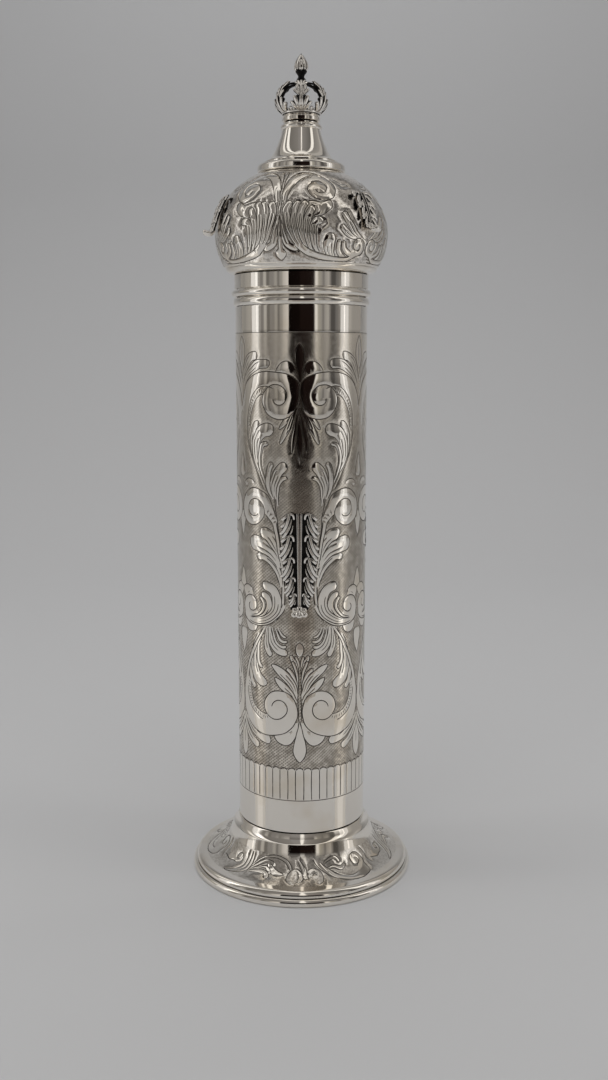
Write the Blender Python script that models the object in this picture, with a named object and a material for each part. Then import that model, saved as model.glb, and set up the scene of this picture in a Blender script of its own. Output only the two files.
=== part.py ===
"""Silver case for a scroll: a closed tube on a flared foot, under a domed lid that lifts off.

Metres, +Z up. The origin is the centre of the foot's underside. The front is towards -Y, and an azimuth is
counted from the front towards +X. Turned and spun pieces are outlines of (radius, height) points, run round
the axis. The applied leaves and the crown are castings, soldered on.
"""

import math

import bmesh
import bpy
from mathutils import Vector

# Metal and fits
WALL = 0.0009
GAP = 0.0003
SIDES = 30
NECK_SIDES = 18

# Foot
RIM_RADIUS = 0.0561
RIM_WIDTH = 0.0029
RIM_HEIGHT = 0.0036
RIM_CORNER = 0.0016
LIP_RADIUS = 0.0541
BORDER_RADIUS = 0.0494
BORDER_HEIGHT = 0.0075
SWEEP_FLAT_FROM = 0.0098
SWEEP_STEEP_TO = 0.0150
COLLAR_RADIUS = 0.0344
COLLAR_HEIGHT = 0.0228
FOOT_TOP = 0.0269
FOOT_HOLE = 0.0270

# Tube
TUBE_RADIUS = 0.0320
TUBE_BOTTOM = FOOT_TOP + GAP
TUBE_FLOOR = 0.0010
TUBE_TOP = 0.2830

# Mouth of the case and lower edge of the lid
MOUTH_BEAD_RADIUS = 0.0330
MOUTH_BEAD_TOP = 0.2873
LID_BEAD_RADIUS = 0.0338
LID_BEAD_TOP = 0.2911
BAND_RADIUS = 0.0324
BAND_TOP = 0.2982
SLEEVE_BOTTOM = 0.2740

# Dome: one ellipse, a little taller below its widest ring than above
DOME_RADIUS = 0.0415
DOME_WIDEST = 0.3170
DOME_RISE = 0.0324
DOME_DROP = 0.0339
DOME_EDGE = 0.0369
DOME_SHOULDER = 0.0217
DOME_HOLE = 0.0160

# Disc, neck and collar above the dome
DISC_BOTTOM = 0.3449
DISC_TOP = 0.3493
DISC_RADIUS = 0.0209
DISC_HOLE = 0.0120
NECK_FOOT_RADIUS = 0.0176
NECK_FOOT_HEIGHT = 0.0011
NECK_TOP = 0.3683
NECK_RADIUS = 0.0086
NECK_WAIST = 0.3590
NECK_BEAD_HEIGHT = 0.3664
NECK_BEAD_RADIUS = 0.0094
COLLAR_RING_RADIUS = 0.0089
COLLAR_RING_TOP = 0.3719
COLLAR_RING_HOLE = 0.0050

# Crown and bud
CROWN_ARCHES = 6
CROWN_RING_RADIUS = 0.0092
CROWN_RING_HEIGHT = 0.0012
CROWN_WIDEST = 0.0122
CROWN_WIDEST_HEIGHT = 0.3805
CROWN_TOP = 0.3874
HUB_RADIUS = 0.0034
ARCH_THICKNESS = 0.0010
BUD_RADIUS = 0.0034
BUD_BOTTOM = 0.3915
BUD_STEM = 0.00145
BUD_LOBES = 5
HEIGHT = 0.4000

# Applied leaves
CASE_LEAF_TOP = 0.1868
CASE_LEAF_LENGTH = 0.0465
CASE_LEAF_WIDTH = 0.0190
CASE_LEAF_AZIMUTH = -1.5
LID_LEAF_TOP = 0.3318
LID_LEAF_WIDTH = 0.0120
LID_LEAF_DROP = 1.5
LID_LEAF_AZIMUTH = 47.0
LEAF_COUNT = 3
LEAF_THICKNESS = 0.0011
LEAF_STEM = 0.0009
LEAF_HOOK = 0.0024


def arc(centre, radii, start, end, steps):
    """Points on an elliptical arc, with angles in degrees counted from the outward direction."""
    angles = [math.radians(start + (end - start) * i / steps) for i in range(steps + 1)]
    return [(centre[0] + radii[0] * math.cos(a), centre[1] + radii[1] * math.sin(a)) for a in angles]


def bezier(points, steps):
    """Points on a cubic curve with four control points."""
    curve = []
    for i in range(steps + 1):
        t = i / steps
        weights = ((1 - t) ** 3, 3 * t * (1 - t) ** 2, 3 * t * t * (1 - t), t ** 3)
        curve.append(tuple(sum(w * p[k] for w, p in zip(weights, points)) for k in (0, 1)))
    return curve


def shell(outer, wall=WALL):
    """Closed outline of a sheet whose outer face is given, with the wall on the right of its direction."""
    inner = []
    for i, (radius, height) in enumerate(outer):
        before = outer[max(i - 1, 0)]
        after = outer[min(i + 1, len(outer) - 1)]
        sides = []
        for a, b in ((before, (radius, height)), ((radius, height), after)):
            length = math.hypot(b[0] - a[0], b[1] - a[1])
            if length > 0:
                sides.append(((b[1] - a[1]) / length, -(b[0] - a[0]) / length))
        normal = Vector((sum(s[0] for s in sides), sum(s[1] for s in sides))).normalized()
        spread = wall / max(normal.dot(Vector(sides[0])), 0.5)
        inner.append((radius + normal.x * spread, height + normal.y * spread))
    return list(outer) + inner[::-1]


def silver(name, colour, roughness):
    """A silver finish as a Principled material."""
    material = bpy.data.materials.new(name)
    material.use_nodes = True
    shader = material.node_tree.nodes["Principled BSDF"]
    shader.inputs["Base Color"].default_value = (*colour, 1.0)
    shader.inputs["Metallic"].default_value = 1.0
    shader.inputs["Roughness"].default_value = roughness
    return material


def add_solid(name, mesh, material):
    """Close the mesh, turn its faces outward and place it in the scene as a named object."""
    bmesh.ops.recalc_face_normals(mesh, faces=mesh.faces)
    data = bpy.data.meshes.new(name)
    mesh.to_mesh(data)
    mesh.free()
    data.materials.append(material)
    data.shade_smooth()
    data.set_sharp_from_angle(angle=math.radians(35))
    solid = bpy.data.objects.new(name, data)
    bpy.context.scene.collection.objects.link(solid)
    return solid


def turned(name, outline, material, sides=SIDES, lobes=0, lobe_depth=0.0):
    """Run a closed outline of (radius, height) points round the axis, with optional lobes."""
    mesh = bmesh.new()
    rings = []
    for radius, height in outline:
        if radius == 0:
            rings.append([mesh.verts.new((0, 0, height))] * sides)
            continue
        ring = []
        for i in range(sides):
            angle = math.tau * i / sides
            reach = radius * (1 + lobe_depth * math.cos(lobes * angle))
            ring.append(mesh.verts.new((reach * math.cos(angle), reach * math.sin(angle), height)))
        rings.append(ring)
    for lower, upper in zip(rings, rings[1:] + rings[:1]):
        for i in range(sides):
            j = (i + 1) % sides
            corners = list(dict.fromkeys((lower[i], lower[j], upper[j], upper[i])))
            if len(corners) > 2:
                mesh.faces.new(corners)
    return add_solid(name, mesh, material)


def closed_grid(mesh, front, back):
    """Faces of a slab between two grids of points, one for its front and one for its back."""
    fronts = [[mesh.verts.new(p) for p in row] for row in front]
    backs = [[mesh.verts.new(p) for p in row] for row in back]
    last = len(fronts) - 1
    side = len(fronts[0]) - 1
    for i in range(last):
        for j in range(side):
            mesh.faces.new((fronts[i][j], fronts[i + 1][j], fronts[i + 1][j + 1], fronts[i][j + 1]))
            mesh.faces.new((backs[i][j], backs[i][j + 1], backs[i + 1][j + 1], backs[i + 1][j]))
        for j in (0, side):
            mesh.faces.new((fronts[i][j], backs[i][j], backs[i + 1][j], fronts[i + 1][j]))
    for j in range(side):
        for i in (0, last):
            mesh.faces.new((fronts[i][j], fronts[i][j + 1], backs[i][j + 1], backs[i][j]))


def normals_of(path):
    """Unit normals of a path of (radius, height) points that runs down, pointing away from the axis."""
    normals = []
    for i in range(len(path)):
        a = path[max(i - 1, 0)]
        b = path[min(i + 1, len(path) - 1)]
        length = math.hypot(b[0] - a[0], b[1] - a[1])
        normals.append(((a[1] - b[1]) / length, (b[0] - a[0]) / length))
    return normals


def hooked(path, radius, turn, steps):
    """The path with its lower end carried on round an outward hook."""
    end = Vector(path[-1])
    outward = Vector(normals_of(path)[-1])
    centre = end + outward * radius
    hook = []
    for i in range(1, steps + 1):
        angle = math.radians(turn * i / steps)
        arm = -outward * radius
        hook.append((centre.x + arm.x * math.cos(angle) - arm.y * math.sin(angle),
                     centre.y + arm.x * math.sin(angle) + arm.y * math.cos(angle)))
    return path + hook


def lobed_width(along, tiers):
    """Share of the leaf's full width at a place along it: lobes that point down, and a narrow tip."""
    envelope = min(1.0, 0.62 + 1.6 * along) * (1 - 0.42 * along ** 1.5)
    tooth = (along * tiers) % 1.0
    tip = 0.38 if along > 0.86 else 1.0
    return envelope * (0.80 + 0.20 * tooth) * tip


def leaf(name, path, width, azimuth, tiers, material):
    """A cast leaf with its flat base up, laid on a surface of revolution, its tip hooked outward."""
    places = (-1.0, -0.45, 0.0, 0.45, 1.0)
    front = []
    back = []
    for i, ((radius, height), normal) in enumerate(zip(path, normals_of(path))):
        along = i / (len(path) - 1)
        half = 0.5 * width * lobed_width(along, tiers)
        thick = LEAF_THICKNESS * (1 - 0.35 * along)
        front_row = []
        back_row = []
        for place in places:
            angle = math.radians(azimuth) + place * half / path[0][0]
            rise = thick + LEAF_STEM * (1 - abs(place)) ** 2
            for row, lift in ((front_row, rise), (back_row, 0.0)):
                reach = radius + normal[0] * lift
                row.append((reach * math.sin(angle), -reach * math.cos(angle), height + normal[1] * lift))
        front.append(front_row)
        back.append(back_row)
    mesh = bmesh.new()
    closed_grid(mesh, front, back)
    return add_solid(name, mesh, material)


def dome_point(angle):
    """Point on the dome's outer face, at an angle in degrees above its widest ring."""
    rise = DOME_RISE if angle > 0 else DOME_DROP
    a = math.radians(angle)
    return (DOME_RADIUS * math.cos(a), DOME_WIDEST + rise * math.sin(a))


def dome_angle(radius):
    """Angle whose point on the dome has this radius."""
    return math.degrees(math.acos(radius / DOME_RADIUS))


def bead(inner, outer, bottom, top, steps=4):
    """Outline of a half-round wire soldered on edge: flat inside, round outside."""
    middle = 0.5 * (bottom + top)
    flat = inner + 0.35 * (outer - inner)
    round_side = arc((flat, middle), (outer - flat, 0.5 * (top - bottom)), -90, 90, steps)
    return [(inner, bottom)] + round_side + [(inner, top)]


def make_foot(polished):
    """Flared foot with a concave sweep, and the wire that it stands on."""
    sweep = bezier(((COLLAR_RADIUS + 0.0006, COLLAR_HEIGHT - 0.0004),
                    (COLLAR_RADIUS + 0.0017, SWEEP_STEEP_TO),
                    (BORDER_RADIUS - 0.0086, SWEEP_FLAT_FROM),
                    (BORDER_RADIUS, BORDER_HEIGHT)), 5)
    lip = arc((LIP_RADIUS - 0.0028, RIM_HEIGHT + 0.0008), (0.0030, 0.0028), 75, -8, 2)
    outer = [(FOOT_HOLE, FOOT_TOP), (0.0325, FOOT_TOP), (0.0331, FOOT_TOP - 0.0023),
             (COLLAR_RADIUS, COLLAR_HEIGHT)]
    outer += sweep + lip
    turned("foot", shell(outer), polished)
    inner = RIM_RADIUS - RIM_WIDTH
    crest = arc((RIM_RADIUS - RIM_CORNER, 0.0014), (RIM_CORNER, RIM_HEIGHT - 0.0014), -20, 90, 3)
    turned("foot_rim", [(inner, 0), (RIM_RADIUS - 0.0005, 0)] + crest + [(inner, RIM_HEIGHT)], polished)


def make_case(polished):
    """Tube with its floor, and the wire round its mouth."""
    inside = TUBE_RADIUS - WALL
    floor = TUBE_BOTTOM + TUBE_FLOOR
    turned("case_tube", [(0, TUBE_BOTTOM), (TUBE_RADIUS, TUBE_BOTTOM), (TUBE_RADIUS, TUBE_TOP),
                         (inside, TUBE_TOP), (inside, floor), (0, floor)], polished)
    turned("mouth_bead", bead(inside, MOUTH_BEAD_RADIUS, TUBE_TOP + GAP, MOUTH_BEAD_TOP), polished)


def make_lid(polished):
    """Band with the sleeve that slides into the case, its wire, and the spun dome."""
    sleeve = TUBE_RADIUS - WALL - GAP
    sleeve_inside = sleeve - WALL
    turned("lid_bead", bead(sleeve + GAP, LID_BEAD_RADIUS, MOUTH_BEAD_TOP + GAP, LID_BEAD_TOP), polished)
    turned("lid_band", [(sleeve_inside, SLEEVE_BOTTOM), (sleeve, SLEEVE_BOTTOM), (sleeve, LID_BEAD_TOP + GAP),
                        (BAND_RADIUS, LID_BEAD_TOP + GAP), (BAND_RADIUS, BAND_TOP),
                        (sleeve_inside, BAND_TOP)], polished)
    lowest = -dome_angle(DOME_EDGE)
    highest = dome_angle(DOME_SHOULDER)
    cove = arc((DOME_EDGE - 0.0005, BAND_TOP + GAP + 0.0002), (0.0034, 0.0026), 180, 95, 2)
    steps = 7
    dome = [dome_point(lowest + (highest - lowest) * i / steps) for i in range(steps + 1)]
    foot = [(BAND_RADIUS - 0.0003, BAND_TOP + GAP)]
    rest = [(DOME_HOLE, dome[-1][1])]
    turned("lid_dome", shell((foot + cove + dome + rest)[::-1]), polished)


def make_finial(polished):
    """Disc, bell-shaped neck with its closed top, and ringed collar that carry the crown."""
    corner = 0.0016
    edge = arc((DISC_RADIUS - corner, DISC_BOTTOM + 0.0012), (corner, 0.0012), -60, 0, 1)
    edge += arc((DISC_RADIUS - corner, DISC_TOP - corner), (corner, corner), 0, 90, 2)
    turned("lid_disc", shell((edge + [(DISC_HOLE, DISC_TOP)])[::-1]), polished)
    seat = DISC_TOP + GAP
    bell = [(NECK_FOOT_RADIUS, seat)]
    bell += bezier(((NECK_FOOT_RADIUS, seat + NECK_FOOT_HEIGHT), (0.0125, seat + NECK_FOOT_HEIGHT),
                    (NECK_RADIUS + 0.0004, NECK_WAIST), (NECK_RADIUS, NECK_BEAD_HEIGHT - 0.0011)), 5)
    ring = arc((NECK_RADIUS, NECK_BEAD_HEIGHT), (NECK_BEAD_RADIUS - NECK_RADIUS, 0.0010), -50, 50, 2)
    top = [(0.0079, NECK_BEAD_HEIGHT + 0.0013), (0.0079, NECK_TOP), (0, NECK_TOP)]
    turned("lid_neck", shell((bell + ring + top)[::-1]), polished, NECK_SIDES)
    bottom = NECK_TOP + GAP
    top = COLLAR_RING_TOP
    turned("neck_collar", [(COLLAR_RING_HOLE, bottom), (0.0080, bottom), (COLLAR_RING_RADIUS, bottom + 0.0005),
                           (COLLAR_RING_RADIUS, top - 0.0014), (0.0084, top - 0.0011),
                           (COLLAR_RING_RADIUS, top - 0.0007), (0.0086, top),
                           (COLLAR_RING_HOLE, top)], polished, NECK_SIDES)


def arch_half_width(along):
    """Half the width of a crown arch: a broad leaf at its foot, then a narrower leaf up to the hub."""
    if along < 0.5:
        return 0.0020 + 0.0023 * math.sin(math.pi * along / 0.5) + 0.0004 * along
    return 0.0012 + 0.0014 * math.sin(math.pi * (along - 0.5) / 0.5)


def crown_arch(index, material):
    """One arch of the crown, as a helper solid that the crown is joined from."""
    foot = COLLAR_RING_TOP + GAP
    bulge = (CROWN_WIDEST - 0.0004, CROWN_WIDEST_HEIGHT)
    lower = bezier(((0.0082, foot + 0.0004), (0.0118, foot + 0.0014),
                    (bulge[0] + 0.0013, bulge[1] - 0.0030), bulge), 5)
    upper = bezier((bulge, (bulge[0] - 0.0010, bulge[1] + 0.0031), (0.0080, CROWN_TOP - 0.0008),
                    (0.0023, CROWN_TOP - 0.0006)), 5)
    path = lower + upper[1:]
    azimuth = math.tau * index / CROWN_ARCHES
    across = Vector((math.cos(azimuth), math.sin(azimuth), 0))
    outward = Vector((math.sin(azimuth), -math.cos(azimuth), 0))
    front = []
    back = []
    for i, point in enumerate(path):
        before = path[max(i - 1, 0)]
        after = path[min(i + 1, len(path) - 1)]
        length = math.hypot(after[0] - before[0], after[1] - before[1])
        normal = outward * ((after[1] - before[1]) / length) + Vector((0, 0, (before[0] - after[0]) / length))
        middle = outward * point[0] + Vector((0, 0, point[1]))
        half = arch_half_width(i / (len(path) - 1))
        front.append([middle + across * half * place - normal * 0.3 * ARCH_THICKNESS * abs(place)
                      for place in (-1, 0, 1)])
        back.append([middle + across * half * place - normal * ARCH_THICKNESS * (1 + 0.2 * abs(place))
                     for place in (-1, 0, 1)])
    mesh = bmesh.new()
    closed_grid(mesh, front, back)
    arch = add_solid(f"crown_arch_{index + 1}", mesh, material)
    arch.hide_render = True
    arch.display_type = "WIRE"
    return arch


def make_crown(oxidised):
    """Open crown, cast as one: a ring, six leaf arches and the hub where they meet."""
    bottom = COLLAR_RING_TOP + GAP
    inner = CROWN_RING_RADIUS - 0.0018
    crown = turned("crown", [(inner, bottom), (CROWN_RING_RADIUS, bottom),
                             (CROWN_RING_RADIUS, bottom + CROWN_RING_HEIGHT),
                             (inner, bottom + CROWN_RING_HEIGHT)], oxidised, NECK_SIDES)
    hub = turned("crown_hub", [(0, CROWN_TOP - 0.0022), (0.7 * HUB_RADIUS, CROWN_TOP - 0.0020),
                               (HUB_RADIUS, CROWN_TOP - 0.0010), (0.8 * HUB_RADIUS, CROWN_TOP),
                               (0, CROWN_TOP)], oxidised, 12)
    hub.hide_render = True
    hub.display_type = "WIRE"
    pieces = [crown_arch(i, oxidised) for i in range(CROWN_ARCHES)] + [hub]
    for piece in pieces:
        join = crown.modifiers.new("join_" + piece.name, "BOOLEAN")
        join.operation = "UNION"
        join.solver = "EXACT"
        join.object = piece


def make_bud(oxidised):
    """Bud on its waisted stem, the top of the case."""
    bottom = CROWN_TOP + GAP
    stem = [(0, bottom), (0.0022, bottom), (BUD_STEM, bottom + 0.0012), (BUD_STEM, BUD_BOTTOM - 0.0008)]
    bud = bezier(((0.0026, BUD_BOTTOM), (BUD_RADIUS * 1.45, BUD_BOTTOM + 0.0020),
                  (0.0018, HEIGHT - 0.0035), (0.0002, HEIGHT - 0.0004)), 7)
    turned("bud_finial", stem + bud + [(0, HEIGHT)], oxidised, BUD_LOBES * 3, BUD_LOBES, 0.05)


def make_leaves(oxidised):
    """Three leaves round the case and three round the dome, each cast and soldered on."""
    lay = TUBE_RADIUS + GAP
    steps = 10
    straight = [(lay, CASE_LEAF_TOP - CASE_LEAF_LENGTH * i / steps) for i in range(steps + 1)]
    case_path = hooked(straight, LEAF_HOOK, 140, 4)
    highest = math.degrees(math.asin((LID_LEAF_TOP - DOME_WIDEST) / DOME_RISE))
    lowest = -LID_LEAF_DROP
    steps = 6
    slope = []
    for i in range(steps + 1):
        radius, height = dome_point(highest + (lowest - highest) * i / steps)
        lift = GAP + 0.0004 + 0.0008 * i / steps
        slope.append((radius + lift, height + 0.4 * lift))
    lid_path = hooked(slope, LEAF_HOOK * 0.9, 150, 4)
    for i in range(LEAF_COUNT):
        turn = 360 * i / LEAF_COUNT
        leaf(f"case_leaf_{i + 1}", case_path, CASE_LEAF_WIDTH, CASE_LEAF_AZIMUTH + turn, 5, oxidised)
        leaf(f"lid_leaf_{i + 1}", lid_path, LID_LEAF_WIDTH, LID_LEAF_AZIMUTH + turn, 3, oxidised)


def main():
    for old in list(bpy.data.objects):
        bpy.data.objects.remove(old)
    polished = silver("polished_silver", (0.87, 0.85, 0.82), 0.12)
    oxidised = silver("oxidised_silver", (0.45, 0.42, 0.38), 0.30)
    make_foot(polished)
    make_case(polished)
    make_lid(polished)
    make_finial(polished)
    make_crown(oxidised)
    make_bud(oxidised)
    make_leaves(oxidised)


main()
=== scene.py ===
"""Looks of a silver scroll case: an engraved tube on a chased foot, under a domed lid that lifts off.

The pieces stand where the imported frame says. Drawings of ornament are in millimetres: the first number runs
across the surface from the axis of one repeat, and the second runs up. Three repeats go round the case. Each
is the same on both sides of its axis on the tube and the dome, so that the drawing holds one half of it. What
is chased on the dome and the foot is drawn in degrees from the axis, and in heights or radii.
"""

import logging
import math
from dataclasses import dataclass, field
from enum import Enum

import bmesh
import bpy
import numpy as np
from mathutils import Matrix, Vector
from mathutils.geometry import delaunay_2d_cdt
from mathutils.kdtree import KDTree


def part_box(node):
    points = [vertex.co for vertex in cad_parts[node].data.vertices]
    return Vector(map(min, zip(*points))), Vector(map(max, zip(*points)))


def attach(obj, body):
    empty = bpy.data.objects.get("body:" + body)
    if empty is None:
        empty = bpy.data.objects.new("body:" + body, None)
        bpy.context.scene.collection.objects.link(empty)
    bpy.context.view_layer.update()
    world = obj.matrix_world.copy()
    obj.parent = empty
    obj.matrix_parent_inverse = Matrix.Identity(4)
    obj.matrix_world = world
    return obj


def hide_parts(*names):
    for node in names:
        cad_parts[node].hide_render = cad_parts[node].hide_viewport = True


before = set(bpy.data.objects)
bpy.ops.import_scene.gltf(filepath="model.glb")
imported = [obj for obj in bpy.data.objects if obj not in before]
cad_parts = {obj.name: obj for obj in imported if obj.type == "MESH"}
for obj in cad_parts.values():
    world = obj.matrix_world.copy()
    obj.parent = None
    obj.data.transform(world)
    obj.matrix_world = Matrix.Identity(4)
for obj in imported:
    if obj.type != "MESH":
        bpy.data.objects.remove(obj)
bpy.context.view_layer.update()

LOG = logging.getLogger("scroll_case")
MM = 0.001
REPEATS = 3
TUBE_RADIUS = 32.0
# distance in millimetres between the points of a profile that is measured along
FINE = 0.2

Point = tuple[float, float]
Points = tuple[Point, ...]
Path = list[Point]
Array = np.ndarray
Material = bpy.types.Material
Socket = bpy.types.NodeSocket


# ---------------------------------------------------------------- curves and outlines


def unit(vectors: Array, least: float = 1e-9) -> Array:
    """Vectors in rows, brought to a length of one unless they are shorter than the least."""
    return vectors / np.maximum(np.linalg.norm(vectors, axis=1)[:, None], least)


def run_along(line: Array) -> Array:
    """Length of a polyline from its start to each of its points."""
    return np.concatenate([[0.0], np.cumsum(np.linalg.norm(np.diff(line, axis=0), axis=1))])


def length_of(line: Array) -> float:
    """Whole length of a polyline."""
    return float(np.linalg.norm(np.diff(line, axis=0), axis=1).sum())


def leftward(line: Array) -> Array:
    """Unit vectors that point to the left of a plane polyline, at each of its points."""
    way = unit(np.gradient(line, axis=0))
    return np.stack([-way[:, 1], way[:, 0]], axis=1)


def arc(centre: Point, radii: Point, start: float, end: float, steps: int) -> Path:
    """Points on an elliptical arc.

    Args:
        centre: centre of the ellipse.
        radii: its two half axes.
        start: first angle in degrees, counted from the first axis.
        end: last angle in degrees.
        steps: number of chords.

    Returns:
        The points, steps + 1 of them.
    """
    angles = np.radians(np.linspace(start, end, steps + 1))
    return [(centre[0] + radii[0] * math.cos(a), centre[1] + radii[1] * math.sin(a)) for a in angles]


def bezier(points: Path, steps: int) -> Path:
    """Points on a cubic curve with four control points.

    Args:
        points: the four control points.
        steps: number of chords.

    Returns:
        The points, steps + 1 of them.
    """
    t = np.linspace(0, 1, steps + 1)[:, None]
    p = np.array(points, float)
    curve = (1 - t) ** 3 * p[0] + 3 * t * (1 - t) ** 2 * p[1] + 3 * t * t * (1 - t) * p[2] + t ** 3 * p[3]
    return [tuple(q) for q in curve]


def evenly(line: Array, step: float) -> Array:
    """The same polyline with points an even distance apart.

    Args:
        line: points of the polyline, one row each.
        step: the distance wanted.

    Returns:
        The new points, from the first to the last of the old ones.
    """
    lengths = run_along(line)
    count = max(2, int(round(lengths[-1] / step)) + 1)
    places = np.linspace(0, lengths[-1], count)
    return np.stack([np.interp(places, lengths, line[:, k]) for k in range(line.shape[1])], axis=1)


def spline(points: Path, step: float) -> Array:
    """Even points on a smooth curve that passes through the given ones.

    Args:
        points: two or more points that the curve passes through.
        step: distance between the points returned.

    Returns:
        Points on the curve, one row each.
    """
    p = np.array(points, float)
    if len(p) == 2:
        return evenly(p, step)
    knots = np.concatenate([[0.0], np.cumsum(np.linalg.norm(np.diff(p, axis=0), axis=1) ** 0.5)])
    slopes = np.gradient(p, knots, axis=0, edge_order=2)
    t = np.linspace(0, knots[-1], 16 * len(p))
    i = np.clip(np.searchsorted(knots, t, side="right") - 1, 0, len(p) - 2)
    span = (knots[i + 1] - knots[i])[:, None]
    s = (t - knots[i])[:, None] / span
    curve = ((2 * s ** 3 - 3 * s ** 2 + 1) * p[i] + (s ** 3 - 2 * s ** 2 + s) * span * slopes[i]
             + (3 * s ** 2 - 2 * s ** 3) * p[i + 1] + (s ** 3 - s ** 2) * span * slopes[i + 1])
    return evenly(curve, step)


def inside(outline: Array, points: Array) -> Array:
    """Which points lie inside a closed outline.

    Args:
        outline: corners of the outline, one row each, not repeated at the end.
        points: the points to test, one row each.

    Returns:
        One truth value for each point.
    """
    found = np.zeros(len(points), bool)
    low = outline.min(0)
    high = outline.max(0)
    near = np.nonzero(np.all((points > low) & (points < high), axis=1))[0]
    x = points[near, 0]
    y = points[near, 1]
    hit = np.zeros(len(near), bool)
    for (x0, y0), (x1, y1) in zip(outline, np.roll(outline, -1, axis=0)):
        if y0 != y1:
            crossing = (y0 > y) != (y1 > y)
            hit ^= crossing & (x < (x1 - x0) * (y - y0) / (y1 - y0) + x0)
    found[near] = hit
    return found


# ---------------------------------------------------------------- motifs of a drawing


class Tip(Enum):
    """How a frond ends."""

    ROUND = "round"
    POINTED = "pointed"


@dataclass
class Line:
    """One cut of the graver: the points of its middle and half its width at each."""

    points: Array
    half_widths: Array


@dataclass
class Shape:
    """One motif of a drawing: the outline that it fills, and the lines that it shows."""

    outline: Array
    lines: list[Line]


@dataclass(frozen=True)
class Graver:
    """The width of a cut and how closely its points are set, in millimetres."""

    half_width: float = 0.21
    step: float = 0.75

    def cut(self, points: Array, fade_start: float = 1.6, fade_end: float = 1.6,
            share: float = 1.0) -> Line:
        """A line that thins out towards its ends.

        Args:
            points: the middle of the cut.
            fade_start: length over which it swells at its start.
            fade_end: length over which it thins at its end.
            share: its width as a share of the graver's.

        Returns:
            The line.
        """
        run = run_along(points)
        swell = np.ones(len(run))
        for fade, gone in ((fade_start, run), (fade_end, run[-1] - run)):
            if fade > 0:
                swell = np.minimum(swell, (gone / fade) ** 0.7)
        return Line(points, self.half_width * share * np.clip(swell, 0, 1))


@dataclass(frozen=True)
class Frond:
    """A finger of foliage: a tapering blade along a curve from its root to its tip.

    Its one vein, or two if it is broad, run to a share of its length, and its root has a share of its width.
    """

    width: float
    path: Points
    tip: Tip = Tip.ROUND
    vein: float = 0.75
    root: float = 0.35
    broad: float = 4.0

    def half_widths(self, length: float, along: Array) -> Array:
        """Half the blade's width at places along it.

        Args:
            length: length of the blade.
            along: the places, as shares of its length.

        Returns:
            Half the width at each place.
        """
        # it swells from its root over the first part, and closes from where its end begins
        swell = self.root + (1 - self.root) * np.sin(0.5 * np.pi * np.clip(along / 0.7, 0, 1))
        if self.tip is Tip.ROUND:
            start = max(0.3, 1 - 0.5 * self.width / length)
            close = np.sqrt(np.clip(1 - ((along - start) / (1 - start)) ** 2, 0, 1))
        else:
            start = 0.52
            close = (1 - np.clip((along - start) / (1 - start), 0, 1) ** 2) ** 0.6
        return 0.5 * self.width * swell * np.where(along > start, close, 1.0)

    def shape(self, graver: Graver) -> Shape:
        """The blade as that graver cuts it.

        Args:
            graver: the graver.

        Returns:
            The blade's outline and lines.
        """
        middle = spline(list(self.path), graver.step * 0.8)
        along = np.linspace(0, 1, len(middle))
        length = length_of(middle)
        side = leftward(middle) * self.half_widths(length, along)[:, None]
        outline = evenly(np.concatenate([middle + side, (middle - side)[::-1]]), graver.step)
        lines = [graver.cut(outline, 2.5, 2.5)]
        # each vein runs so far aside of the middle, and so far along the blade
        for aside, reach in ((-0.42, 1.0), (0.34, 0.84)) if self.width > self.broad else ((0.0, 1.0),):
            vein = (middle + side * aside)[(along > 0.10) & (along < self.vein * reach)]
            if len(vein) > 3:
                lines.append(graver.cut(evenly(vein, graver.step), 0.35 * length, 1.0, 0.9))
        return Shape(outline, lines)


@dataclass(frozen=True)
class Petal:
    """A closed form with an upright axis and two equal sides, drawn as its right half from tip to root."""

    axis: float
    half: Points
    vein: tuple[float, float] | None = None

    def shape(self, graver: Graver) -> Shape:
        """The petal as that graver cuts it.

        Args:
            graver: the graver.

        Returns:
            The petal's outline and lines.
        """
        right = spline(list(self.half), graver.step)
        left = right[::-1] * (-1, 1)
        outline = np.concatenate([left, right[1:]]) + (self.axis, 0)
        lines = [graver.cut(outline, 2.0, 2.0)]
        if self.vein:
            vein = np.array([(self.axis, self.vein[0]), (self.axis, self.vein[1])])
            lines.append(graver.cut(evenly(vein, graver.step), 1.0, 2.5, 0.8))
        return Shape(outline, lines)


@dataclass(frozen=True)
class Lobe:
    """A form given by its outline, with strokes of its own inside."""

    outline: Points
    strokes: tuple[Points, ...] = ()

    def shape(self, graver: Graver) -> Shape:
        """The lobe as that graver cuts it.

        Args:
            graver: the graver.

        Returns:
            The lobe's outline and lines.
        """
        outline = spline(list(self.outline), graver.step)
        lines = [graver.cut(outline, 1.5, 1.5)]
        lines += [graver.cut(spline(list(stroke), graver.step), 1.2, 1.2, 0.8) for stroke in self.strokes]
        return Shape(outline, lines)


@dataclass(frozen=True)
class Spiral:
    """A spiral line that winds in, faster at first; its angles are in degrees, counted from the right.

    Each chord of it spans so many degrees.
    """

    centre: Point
    outer: float
    inner: float
    start: float
    sweep: float
    easing: float = 1.3
    chord: float = 6.0

    def points(self, share: float = 1.0) -> Array:
        """Points on the first part of the spiral.

        Args:
            share: how much of its sweep that part is.

        Returns:
            The points, one row each.
        """
        count = max(8, int(abs(self.sweep) * share / self.chord))
        t = np.linspace(0, share, count)
        angle = np.radians(self.start + self.sweep * t)
        radius = self.inner + (self.outer - self.inner) * (1 - t) ** self.easing
        return np.stack([self.centre[0] + radius * np.cos(angle), self.centre[1] + radius * np.sin(angle)], 1)


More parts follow.
